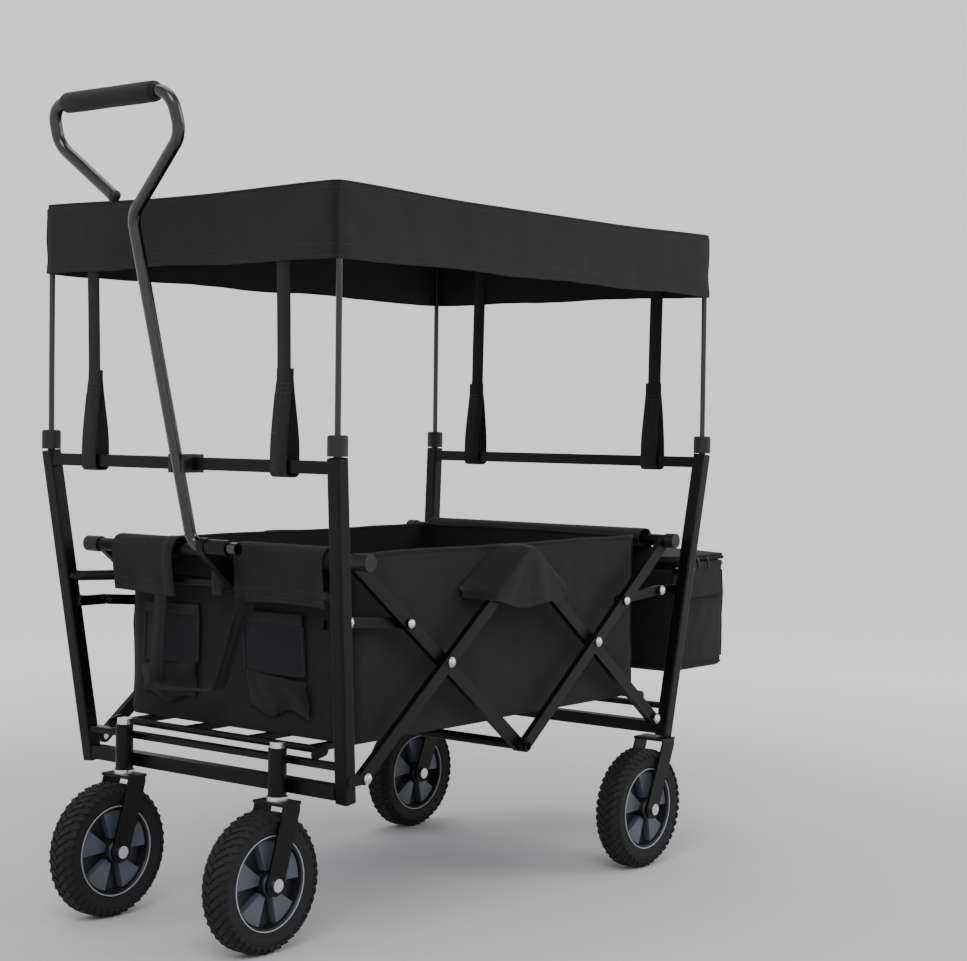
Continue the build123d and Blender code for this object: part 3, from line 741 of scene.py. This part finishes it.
def side_tongue(side):
    """The side cloth that hangs over the high middle pivot, drawn out over the bars like a tent."""
    grid = []
    for x in np.linspace(-110, 106, 60):
        far = abs(x + 2)
        w = 1 - 0.9 * ease(far, 78, 108)
        depth = 2.5 + 42.5 * w
        end = 420 + 16 * (far / 100) ** 2 + 2.0 * math.sin(x / 15.0)
        start = 503.5 - 0.62 * max(far - 20, 0)
        roof = max(min(504.4 - 0.781 * far, start - 6), end + 8)
        line = smooth_path([(0, 213.0, start + 0.5), (0, 213.5 + 0.45 * depth, (start + roof) / 2 + 3 * w),
                            (0, 213.5 + 0.9 * depth, roof + 4 * w), (0, 213.5 + depth, roof - 5),
                            (0, 213.8 + depth, (roof + end) / 2), (0, 213.3 + depth, end)], 7)
        fan = (x + 2) / (0.35 + (504 - line[:, 2]) / 60)
        hang = ease(line[:, 2], 500, 455) * w
        pleat = 1.3 * np.sin(fan / 9.0) * hang
        pleat2 = 0.9 * ripple(x, line[:, 2], 40, 60.0) * ease(line[:, 2], 505, 470)
        line[:, 0] = x
        line[:, 1] = side * (line[:, 1] + np.maximum(pleat + pleat2, -0.6))
        grid.append(line)
    grid = np.array(grid)
    name = "side_tongue_" + ("right" if side < 0 else "left")
    piece = cloth(name, grid, 1.5, "cloth")
    carry(piece, "front_risers")
    rows = []
    for inset in (2, 4):
        row = grid[:, -inset].copy()
        row[:, 1] += side * 0.9
        rows += stitch_places(row, (0, float(side), 0))
    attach(sewn(name, rows), "front_risers")


def net_pocket(name, y0, y1, lean, node):
    """A mesh panel with a bound top, over a fuller cloth pouch with soft folds."""
    ys = np.linspace(y0, y1, 34)
    t = (ys - y0) / (y1 - y0)
    arch = np.sin(math.pi * t)
    net = []
    for y, a in zip(ys, arch):
        zs = np.linspace(417, 340, 20)
        bulge = 2.4 + 4.2 * a * ease(zs, 425, 350)
        net.append(np.stack([-326.5 - bulge, np.full(20, y) + lean * (418 - zs) * 0.08, zs], 1))
    panel = cloth(name + "_net", net, 0.8, "net")
    soft(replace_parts(panel, node))
    pouch = []
    for y, a, u in zip(ys, arch, t):
        v = np.linspace(0, 1, 26)
        low = 290 + 6 * math.sin(u * 9.0 + lean)
        slant = 10 * (u if lean > 0 else 1 - u)
        zs = 343 - slant * (1 - v) - (343 - low) * v
        full = np.sin(math.pi * np.clip(v * 0.93 + 0.07, 0, 1)) ** 0.7
        folds = 1.9 * np.sin(u * 15.0 + v * 4.2 + lean * 2) * full * (0.3 + 0.7 * a)
        droop = 9.0 * a ** 0.6 * full
        x = -328.4 - 2.6 * (1 - v) - droop - folds * 0.8
        across = y + lean * (418 - zs) * 0.12 + 2.0 * np.sin(v * 8)
        pouch.append(np.stack([np.minimum(x, -328.2), across, zs], 1))
    soft(cloth(name + "_pouch", pouch, 1.1, "cloth"))
    top = [(-330.6, y0 - 1, 414.0), (-331.3, (2 * y0 + y1) / 3, 413.4), (-331.3, (y0 + 2 * y1) / 3, 413.4),
           (-330.6, y1 + 1, 414.0)]
    soft(ribbon(name + "_binding", smooth_path(top, 10), (0, 0, 1), 15.0, 1.3, "web"))
    places = []
    for z in (419.0, 409.0):
        places += stitch_places([(-332.3, y0 + 1, z), (-332.6, y1 - 1, z)], (-1.0, 0, 0))
    for y in (y0, y1):
        edge = [(-330.2, y + lean * (418 - z) * 0.08, z) for z in np.linspace(405, 342, 12)]
        soft(ribbon(f"{name}_edge_{'a' if y == y0 else 'b'}", edge, (0, 1, 0), 6.0, 1.0, "web"))
    soft(sewn(name, places))


def carry_strap():
    """The webbing carry loop at the front. Its lower run and right leg are turned edge-on."""
    points = [(-357, 108, 446), (-357, 108, 430), (-358, 110, 385), (-359, 112, 340), (-359, 110, 318),
              (-359, 98, 310), (-359, 70, 309), (-359, 35, 312), (-359, 4, 314), (-359, -9, 320),
              (-359, -20, 346), (-359, -38, 392), (-357, -54, 430), (-356.5, -59, 446)]
    turn = [0, 0, 0, 0.1, 0.45, 0.8, 1, 1, 1, 1, 1, 1, 0.6, 0.3]
    path = smooth_path(points, 9)
    share = np.interp(np.linspace(0, len(turn) - 1, len(path)), range(len(turn)), turn) * math.pi / 2
    across = np.stack([-np.sin(share), np.cos(share), 0 * share], 1)
    soft(ribbon("carry_strap", path, across, 24.0, 1.9, "web"))


def bracket_loop(name, y, lean, slack):
    """A webbing loop over the front cross tube, beside the handle. slack draws it out from its middle."""
    middle = np.array((-346, y, 497))
    points = [(-361, lean, 441), (-363, lean * 0.8, 454), (-364.4, lean * 0.5, 468), (-365, 0, 488),
              (-363, 0, 502), (-356, 0, 510.5), (-346, 0, 512), (-336.5, 0, 507), (-332, 0, 494)]
    path = [middle + ((x + 346) * slack, dy, (z - 497) * slack) for x, dy, z in points]
    soft(ribbon(name, smooth_path(path, 8), (0, 1, 0), 20.0, 1.9, "web"))


# ---------------------------------------------------------------- canopy

CANOPY = (423.5, 273.5, 9.0)


def make_canopy():
    """One curved sheet: a sagging top that turns down into a skirt on four sides."""
    count = 320
    half_x, half_y = CANOPY[:2]
    flat, out, s, total = outline(*CANOPY, count)
    corner = np.minimum(np.abs(np.abs(flat[:, 0]) - half_x) + np.abs(np.abs(flat[:, 1]) - half_y), 400)
    away = ease(corner, 0, 260)
    sag = 4.2 * away
    points = []
    uv = []
    for keep in (0.01, 0.1, 0.2, 0.3, 0.4, 0.5, 0.6, 0.7, 0.8, 0.87, 0.93, 0.97, 0.99):
        xy = flat * keep
        z = 964.8 - sag * keep ** 2 - 19.0 * (1 - keep ** 2)
        z = z + 1.6 * ripple(xy[:, 0], xy[:, 1], 21, 190.0) * (1 - keep)
        points.append(np.concatenate([xy, z[:, None]], 1))
        uv.append(np.concatenate([xy, xy[:1]]))
    edge = np.concatenate([flat * 0.998, (964.2 - sag)[:, None]], 1)
    points.append(edge)
    uv.append(np.concatenate([flat, flat[:1]]))
    for k, v in enumerate(np.linspace(0.03, 1, 26)):
        low = 870.5 + 2.6 * away * np.sin(s / 83.0 + 1.0) ** 2 + 1.2 * ripple(s, 0 * s, 8, 150.0)
        z = (963 - sag) * (1 - v) + low * v
        tension = -4.4 * away * math.sin(math.pi * min(v, 1) * 0.62)
        puckers = 0.7 * np.sin((s + z * 1.3) / 14.0) * bell(corner, 60)
        folds = (1.1 * ripple(s, z, 17, 110.0) + puckers) * ease(v, 0, 0.3)
        hem = 0.7 * (v > 0.84) - 0.5 * bell((v - 0.84) * 97, 1.6)
        move = tension + folds + hem
        xy = flat + out * move[:, None]
        points.append(np.concatenate([xy, z[:, None]], 1))
        uv.append(np.stack([np.append(s, total), np.full(count + 1, 600 + 97 * v)], 1))
    grid = np.stack(points, 1)
    grid[:, :, 0] = np.clip(grid[:, :, 0], -424.4, 424.4)
    grid[:, :, 1] = np.clip(grid[:, :, 1], -274.4, 274.4)
    sheet = cloth("canopy_sheet", grid, 1.4, "canopy", loop=True, uv=np.stack(uv, 1))
    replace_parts(sheet, "canopy")
    soft(sheet)
    rim = grid[:, 13].copy()
    rim[:, :2] += out * 0.5
    rim[:, 2] += 0.2
    seam = tube("canopy_edge_seam", rim, 1.25, "canopy", closed=True, sides=8)
    soft(seam)
    normal = np.concatenate([out, np.zeros((count, 1))], 1)
    places = []
    for column in (15, 34, 38):
        line = grid[:, column].copy()
        line[:, :2] += out * 0.8
        places += stitch_places(line, normal, closed=True)
    soft(sewn("canopy", places))
    for k, (sx, sy) in enumerate(((-1, -1), (-1, 1), (1, -1), (1, 1))):
        idx = int(np.argmin(np.abs(flat[:, 0] - sx * 421) + np.abs(flat[:, 1] - sy * 271)))
        line = grid[idx, 14:].copy()
        line[:, :2] += np.array([sx, sy]) * 0.5
        fold = tube(f"canopy_corner_seam_{k}", line, 1.0, "canopy", sides=8)
        soft(fold)


def canopy_strap(end, side):
    """Webbing from the skirt down round the top crossbar, doubled where it is sewn back on itself."""
    y = side * 178.0
    x, _, bar_z = node_middle(("front" if end < 0 else "rear") + "_top_crossbar")
    x = abs(x)
    wide = [(420.3, 926), (420.0, 905), (417.6, 815), (416.0, 722), (418.5, 700), (423.6, 655),
            (424.9, 628), (424.4, 607), (413.5, 603.4), (402.6, 607), (402.2, 628), (403.6, 655),
            (410.5, 700), (413.6, 722), (413.9, 738)]
    path = smooth_path([(end * a, y, z + bar_z - 616) for a, z in wide], 7)
    share = np.arange(len(path)) / 7
    width = 23.0 + 6.0 * ease(share, 2.8, 3.2)
    name = f"canopy_strap_{'front' if end < 0 else 'rear'}_{'right' if side < 0 else 'left'}"
    body = "front_frame" if end < 0 else "rear_frame"
    strap = ribbon(name, path, (0, 1, 0), width, 1.7, "web")
    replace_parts(strap, ("front" if end < 0 else "rear") + "_canopy_straps")
    carry(strap, body)
    places = []
    for z in (707, 713, 719):
        for face in (1, -1):
            xs = 417.7 + 0.1 if face > 0 else 411.2
            row = [(end * xs, y + dy, z) for dy in (-12, 12)]
            places += stitch_places(row, (float(end * face), 0, 0), 3.6)
    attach(sewn(name, places), body)


# ---------------------------------------------------------------- rear bag

def make_bag():
    low, high = (np.array(v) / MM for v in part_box("rear_bag"))
    cx = (low[0] + high[0]) / 2
    hx = (high[0] - low[0]) / 2
    hy = (high[1] - low[1]) / 2
    count = 200
    flat, out, s, _ = outline(hx, hy, 24.0, count)

    def ring(z, inset, folds=0.0, seed=5):
        move = -inset + folds * ripple(s, np.full(count, z), seed, 95.0)
        xy = flat + out * move[:, None]
        return np.stack([cx + xy[:, 0], xy[:, 1], np.full(count, float(z))], 1)

    shell = [ring(low[2] + 1.2, 26), ring(low[2] + 0.6, 12), ring(low[2] + 2.5, 5.5), ring(low[2] + 8, 2.8)]
    for z in np.linspace(low[2] + 16, 436, 22):
        lift = (z - low[2]) / 160
        fold_depth = 2.1 * math.sin(math.pi * min(lift, 1)) ** 0.5
        shell.append(ring(z, 3.0 - 1.6 * math.sin(math.pi * lift), fold_depth))
    shell += [ring(439.4, 5), ring(440.6, 9), ring(440.9, 14.2), ring(453.4, 14.2)]
    body = loft("bag_body", shell, "cloth", sharp=60.0)
    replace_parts(body, "rear_bag")
    carry(body, "rear_frame")
    steps = ((453.6, 13), (453.4, 6), (454.4, 2.6), (457.0, 1.4), (460.0, 1.8), (462.4, 3.4))
    lid = [ring(z, inset) for z, inset in steps]
    for keep in (0.95, 0.9, 0.82, 0.72, 0.6, 0.46, 0.32, 0.18, 0.05):
        base = lid[5]
        xy = np.stack([(base[:, 0] - cx) * keep, base[:, 1] * keep], 1)
        puff = 463.0 + 6.4 * (1 - keep ** 3) + 1.5 * ripple(xy[:, 0], xy[:, 1], 61, 110.0) * (1 - keep ** 6)
        lid.append(np.stack([cx + xy[:, 0], xy[:, 1], puff], 1))
    top = loft("bag_lid", lid, "cloth", planar=True, sharp=60.0)
    carry(top, "rear_frame")
    pipings = (("bag_lid_piping", 461.6, 2.3, 1.5), ("bag_foot_piping", low[2] + 7.0, 2.6, 1.4))
    for name, z, inset, size in pipings:
        pipe = tube(name, ring(z, inset), size, "cloth", closed=True, sides=8)
        carry(pipe, "rear_frame")
    tape = ribbon("bag_zip_tape", ring(456.9, 0.5), (0, 0, 1), 5.4, 0.9, "web", closed=True)
    carry(tape, "rear_frame")
    corners = ((-0.8, -1.5), (0.8, -1.5), (0.8, 1.5), (-0.8, 1.5))
    lengths = ((-0.55, 0.7), (-0.3, 1.0), (0.3, 1.0), (0.55, 0.7))
    rings = [[(x, y * k, z * k) for y, z in corners] for x, k in lengths]
    tooth = small_mesh("tooth_shape", rings, "plastic")
    zip_line = ring(456.9, -0.3)
    normal = np.concatenate([out, np.zeros((count, 1))], 1)
    teeth = stitch_places(zip_line, normal, 2.1, closed=True)
    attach(scatter("bag_zip_teeth", tooth, teeth, "plastic"), "rear_frame")
    bpy.data.objects.remove(tooth)
    for sy in (-1, 1):
        hand = "right" if sy < 0 else "left"
        for k, dx in ((0, -17.0), (1, 12.0)):
            y = sy * (hy + 0.6)
            if sy < 0:
                hangs = ((0, 1.2, 459.6), (2, 2.6, 455), (4, 2.8, 449), (4.4, 2.7, 441))
                tab = smooth_path([(cx + dx + x, y + sy * out_by, z) for x, out_by, z in hangs], 5)
                pull = ribbon(f"zip_pull_{k}", tab, (1, 0, 0), [6.4] * 5 + [4.4] * 11, 1.6, "plastic")
                carry(pull, "rear_frame")
        rows = []
        grid = []
        for x in np.linspace(cx - 57, cx + 57, 30):
            zs = np.linspace(453.0, 396, 22)
            wave = 0.8 * ripple(x, zs, 70 + sy, 60.0) + 1.6 * ease(zs, 420, 396)
            grid.append(np.stack([np.full(22, x), sy * (hy + 1.7 + wave * ease(zs, 453, 440)), zs], 1))
        flap = cloth(f"bag_flap_{hand}", grid, 1.3, "cloth")
        carry(flap, "rear_frame")
        grid = np.array(grid)
        for line in (grid[2:-2, -3], grid[2, 2:-3], grid[-3, 2:-3], grid[2:-2, 2]):
            row = line.copy()
            row[:, 1] += sy * 0.8
            rows += stitch_places(row, (0, float(sy), 0))
        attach(scatter(f"bag_flap_stitches_{hand}", STITCH, rows, "thread"), "rear_frame")
    seams = []
    for sx in (-1, 1):
        for sy in (-1, 1):
            idx = int(np.argmin(np.abs(flat[:, 0] - sx * (hx - 7)) + np.abs(flat[:, 1] - sy * (hy - 7))))
            line = np.array([r[idx] for r in shell[4:26]])
            line[:, :2] += np.array([sx, sy]) * 0.7
            seams.append(tube(f"bag_seam_{len(seams)}", line, 1.3, "cloth", sides=8))
            carry(seams[-1], "rear_frame")


# ---------------------------------------------------------------- wheels

def lug_shape():
    """A slanting tread block with eased edges."""
    rings = []
    for z, k in ((-1.6, 1.0), (1.3, 1.0), (2.0, 0.86)):
        rings.append([(x * k, y * k, z) for x, y in ((-8.2, -3.0), (-6.6, -3.6), (6.6, -3.6), (8.2, -3.0),
                                                    (8.2, 3.0), (6.6, 3.6), (-6.6, 3.6), (-8.2, 3.0))])
    return small_mesh("lug_shape", rings, "tyre")


def make_wheel(end, hand, lug):
    body = f"{end}_wheel_{hand}"
    c = node_middle(f"{end}_tyre_{hand}")
    wall = [(61.2, -14.5), (62.4, -17.6), (65.0, -18.6), (66.2, -18.0), (70, -19.3), (76, -19.7),
            (80.5, -19.0), (81.6, -18.2), (84.6, -16.4), (86.8, -13), (87.5, -7), (87.7, 0)]
    profile = wall + [(r, -y) for r, y in reversed(wall[:-1])]
    tyre = turned(f"{end}_tyre_body_{hand}", profile, c, "tyre", 128, 50.0)
    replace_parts(tyre, f"{end}_tyre_{hand}")
    carry(tyre, body)
    places = []
    count = 44
    for k in range(count):
        for row, (y, slant, shift) in enumerate(((-6.6, 0.62, 0), (6.6, -0.62, 0.5), (-15.5, 0.35, 0.25),
                                                 (15.5, -0.35, 0.75))):
            q = 2 * math.pi * (k + shift) / count
            radial = Vector((math.cos(q), 0, math.sin(q)))
            tangent = Vector((-math.sin(q), 0, math.cos(q)))
            sideways = Vector((0, 1, 0))
            r = 87.6 if row < 2 else 83.7
            up = radial if row < 2 else (radial + sideways * math.copysign(0.75, y)).normalized()
            ahead = (tangent * math.sin(slant) + sideways * math.cos(slant)).normalized()
            if row > 1:
                inward = (sideways - radial * math.copysign(0.75, y)) * 0.5
                ahead = (tangent * math.sin(slant) + inward).normalized()
            places.append((tuple(c + np.array(radial * r) + np.array([0, y, 0])), tuple(ahead), tuple(up)))
    tread = scatter(f"{end}_tread_{hand}", lug, places, "tyre")
    carry(tread, body)
    half_rim = [(60.9, 17.0), (58.2, 17.0), (56.8, 15.4), (56.0, 9.0), (54.6, 2.4), (16, 2.4), (15.2, 18.5),
                (13.4, 20.8), (6.5, 20.8)]
    shell = half_rim + [(r, -y) for r, y in reversed(half_rim)]
    rim = turned(f"{end}_rim_body_{hand}", shell, c, "recess", 96, 30.0)
    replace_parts(rim, f"{end}_rim_{hand}")
    carry(rim, body)
    for k, sy in ((0, -1), (1, 1)):
        edge = [(59.3, sy * 17.0), (59.6, sy * 17.9), (60.7, sy * 17.9), (61.0, sy * 17.0)]
        lip = turned(f"{end}_rim_line_{hand}_{k}", edge, c, "lip", 96)
        carry(lip, body)
    for k in range(5):
        middle = math.pi / 2 + 2 * math.pi * k / 5
        half = math.radians(20.0)
        shape = []
        for q in np.linspace(middle - half, middle + half, 12):
            shape.append((55.4 * math.cos(q), 55.4 * math.sin(q)))
        for q in (middle + half * 0.86, middle + half * 0.3, middle - half * 0.3, middle - half * 0.86):
            shape.append((16.6 * math.cos(q), 16.6 * math.sin(q)))
        shape = np.array(shape)
        centre = shape.mean(axis=0)
        rings = []
        layers = ((-12.6, 0.93), (-12.2, 0.965), (-11.2, 0.985), (0, 1.0), (11.2, 0.985), (12.2, 0.965),
                  (12.6, 0.93))
        for y, inset in layers:
            p = centre + (shape - centre) * inset
            far = np.hypot(p[:, 0], p[:, 1])
            slope = np.sign(y) * (1.6 * (55 - far) / 40) * (abs(y) > 5)
            rings.append(np.stack([c[0] + p[:, 0], c[1] + y + slope, c[2] + p[:, 1]], 1))
        panel = loft(f"{end}_rim_panel_{hand}_{k}", rings, "panel", sharp=30.0)
        carry(panel, body)


# ---------------------------------------------------------------- metal and plastic details

def dome_shape(radius, high, name="dome_shape", look="zinc"):
    rings = []
    for q in np.linspace(0, math.pi / 2 * 0.93, 6):
        rings.append(hoop((0, 0, high * math.sin(q)), (1, 0, 0), (0, 1, 0), radius * math.cos(q), 20))
    return small_mesh(name, rings, look)


def rivet_domes():
    """Domed heads over each pin, and over the stubs that the short links turn on."""
    dome = dome_shape(6.6, 4.2)
    sets = [("front_risers", heads_of("front_cross_rivets")), ("rear_risers", heads_of("rear_cross_rivets")),
            ("front_frame", heads_of("front_frame_rivets")), ("rear_frame", heads_of("rear_frame_rivets"))]
    for body, end, y in (("front_fallers", -1, 238.5), ("rear_fallers", 1, 249.5)):
        places = []
        for side in (-1, 1):
            places.append(((end * LINK_X, side * (y + 2.0), LINK_Z), (1, 0, 0), (0, float(side), 0)))
        sets.append((body, places))
    for body, places in sets:
        carry(scatter(f"rivet_heads_{body}", dome, places, "zinc"), body)
    bpy.data.objects.remove(dome)


def heads_of(node):
    """Where the outer faces of a node's pin heads are: its vertices furthest out, grouped by place."""
    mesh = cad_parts[node].data
    co = np.array([v.co for v in mesh.vertices]) / MM
    found = []
    for side in (-1, 1):
        part = co[np.sign(co[:, 1]) == side]
        left = part
        while len(left):
            seed = left[0, [0, 2]]
            near = np.hypot(left[:, 0] - seed[0], left[:, 2] - seed[1]) < 16
            group = left[near]
            left = left[~near]
            y = np.abs(group[:, 1]).max()
            mid = (group.min(axis=0) + group.max(axis=0)) / 2
            found.append(((mid[0], side * (y - 0.6), mid[2]), (1, 0, 0), (0, float(side), 0)))
    return found


def grip_and_cap():
    """The foam grip on the handle's loop, its collars, and the plug in the tube's open end."""
    lean = math.radians(HANDLE_LEAN)
    origin = np.array(HANDLE_PIVOT)
    up = np.array([-math.sin(lean), 0, math.cos(lean)])
    right = np.array([0, 1.0, 0])
    face = np.cross(right, up)

    def round_piece(name, start, along, sides, profile, count, look):
        rings = [hoop(start + along * t, sides, face, r, count) for t, r in profile]
        return carry(loft(name, rings, look), "handle")

    grip_line = origin + up * GRIP_UP
    profile = ((-88.0, 8.6), (-88.0, 11.2), (-87.0, 12.4), (-84, 13.0), (-60, 13.2), (-5, 12.9), (50, 13.2),
               (74, 13.0), (77.0, 12.4), (78, 11.2), (78, 8.6))
    grip = round_piece("foam_grip", grip_line, right, up, profile, 40, "foam")
    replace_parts(grip, "handle_grip")
    profile = ((-1.3, 8.5), (-1.0, 10.6), (1.0, 10.6), (1.3, 8.5))
    for k, y in enumerate((-89.4, 79.4)):
        start = grip_line + right * y
        round_piece(f"grip_collar_{k}", start, right, up, profile, 32, "plastic")
    end = origin + right * 22 + up * 460
    along = end - (origin + right * 107 + up * 531)
    along = along / np.linalg.norm(along)
    profile = ((-1.0, 8.15), (0.6, 8.7), (3.0, 8.6), (5.0, 7.4), (6.1, 4.8), (6.5, 1.6))
    round_piece("handle_end_cap", end, along, np.cross(along, face), profile, 32, "plastic")


def repaint():
    """Better finishes for the CAD parts that stay."""
    keep = {
        "gloss": ["handle_tube", "bag_bail", "front_canopy_poles", "rear_canopy_poles"],
        "plastic": ["front_tube_caps", "rear_tube_caps", "front_pole_sockets", "rear_pole_sockets",
                    "handle_clip"],
        "zinc": ["rear_axles", "caster_bolts_right", "caster_bolts_left", "front_frame_rivets",
                 "rear_frame_rivets", "front_cross_rivets", "rear_cross_rivets"],
    }
    chosen = {node: look for look, nodes in keep.items() for node in nodes}
    for node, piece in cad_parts.items():
        for held in piece.material_slots:
            held.material = LOOKS[chosen.get(node, "frame")]


# ---------------------------------------------------------------- the room

def make_room():
    world = bpy.data.worlds.new("studio")
    world.use_nodes = True
    world.node_tree.nodes["Background"].inputs[0].default_value = (0.93, 0.94, 0.96, 1.0)
    world.node_tree.nodes["Background"].inputs[1].default_value = 0.55
    bpy.context.scene.world = world
    area_light("key", (-3.2, -2.2, 3.6), (0, 0, 0.5), (2.6, 2.2), 95.0)
    area_light("fill", (2.6, -3.4, 2.2), (0, 0, 0.5), (2.4, 1.8), 50.0)
    area_light("top", (0.2, 0.4, 4.2), (0, 0, 0.3), (3.2, 3.2), 70.0)
    made, place, _, _ = new_finish("pale_floor", 0.9, glint=0.1)
    shader = made.node_tree.nodes["Principled BSDF"]
    shader.inputs["Base Color"].default_value = (0.60, 0.60, 0.61, 1.0)
    shader.inputs["Emission Strength"].default_value = 1.0
    radius = place.node("ShaderNodeVectorMath", {0: place}, output=1, operation="LENGTH")
    glow = ((radius - GLOW_STARTS) / GLOW_GROWS).clamped()
    feed(made, Emission_Color=glow.colours((0.0, 0.0, 0.0), GLOW))
    profile = [(0.0, 0.0), (2.0, 0.0), (4.0, 0.0), (5.6, 0.05), (6.9, 0.45), (7.7, 1.3), (8.0, 2.6),
               (8.1, 7.0)]
    fine = smooth_path([(r, 0, z) for r, z in profile], 6)
    fine[:12, 2] = 0.0
    count = 96
    verts = []
    for r, _, z in fine:
        for q in np.linspace(0, 2 * math.pi, count, endpoint=False):
            verts.append((r * math.cos(q), r * math.sin(q), max(z, 0.0)))
    faces = []
    for i in range(len(fine) - 1):
        for j in range(count):
            b = (j + 1) % count
            faces.append((i * count + j, (i + 1) * count + j, (i + 1) * count + b, i * count + b))
    mesh = bpy.data.meshes.new("backdrop")
    mesh.from_pydata(verts, [], faces)
    mesh.polygons.foreach_set("use_smooth", [True] * len(mesh.polygons))
    mesh.materials.append(made)
    room = bpy.data.objects.new("backdrop", mesh)
    bpy.context.scene.collection.objects.link(room)


# ---------------------------------------------------------------- building it all

PITCH = 338.0
RISE = 264.0
MIDDLE_Z = 356.0
LINK_FROM_MIDDLE = 90.0
LINK_ANGLE = math.atan2(RISE, PITCH)
LINK_X = PITCH / 2 + LINK_FROM_MIDDLE * math.cos(LINK_ANGLE)
LINK_Z = MIDDLE_Z + LINK_FROM_MIDDLE * math.sin(LINK_ANGLE)

add_camera()
make_room()
repaint()
make_basket()
floor_board()
hem_flap("front_flap_left", -1, 80.0, 198.0, 2)
hem_flap("front_flap_right", -1, -198.0, -40.0, 5)
hem_flap("rear_flap", 1, -211.0, 211.0, 7)
hem_sleeve("front_sleeve", ((-204.0, -38.0), (82.0, 204.0)), "front_fallers", "front_hem_sleeve")
hem_sleeve("rear_sleeve", ((-204.0, 204.0),), "rear_fallers", "rear_hem_sleeve")
for hand_side in (-1, 1):
    side_tongue(hand_side)
net_pocket("pocket_left", 62.0, 168.0, 0.3, "mesh_pockets")
net_pocket("pocket_right", -130.0, -22.0, -1.0, "mesh_pockets")
carry_strap()
bracket_loop("bracket_loop_left", 86.0, -3.0, 1.12)
bracket_loop("bracket_loop_right", -10.0, 3.0, 1.0)
make_canopy()
for strap_end in (-1, 1):
    for strap_side in (-1, 1):
        canopy_strap(strap_end, strap_side)
make_bag()
TREAD = lug_shape()
for wheel_end in ("front", "rear"):
    for wheel_hand in ("right", "left"):
        make_wheel(wheel_end, wheel_hand, TREAD)
rivet_domes()
grip_and_cap()
for spare_part in (STITCH, TREAD):
    bpy.data.objects.remove(spare_part)
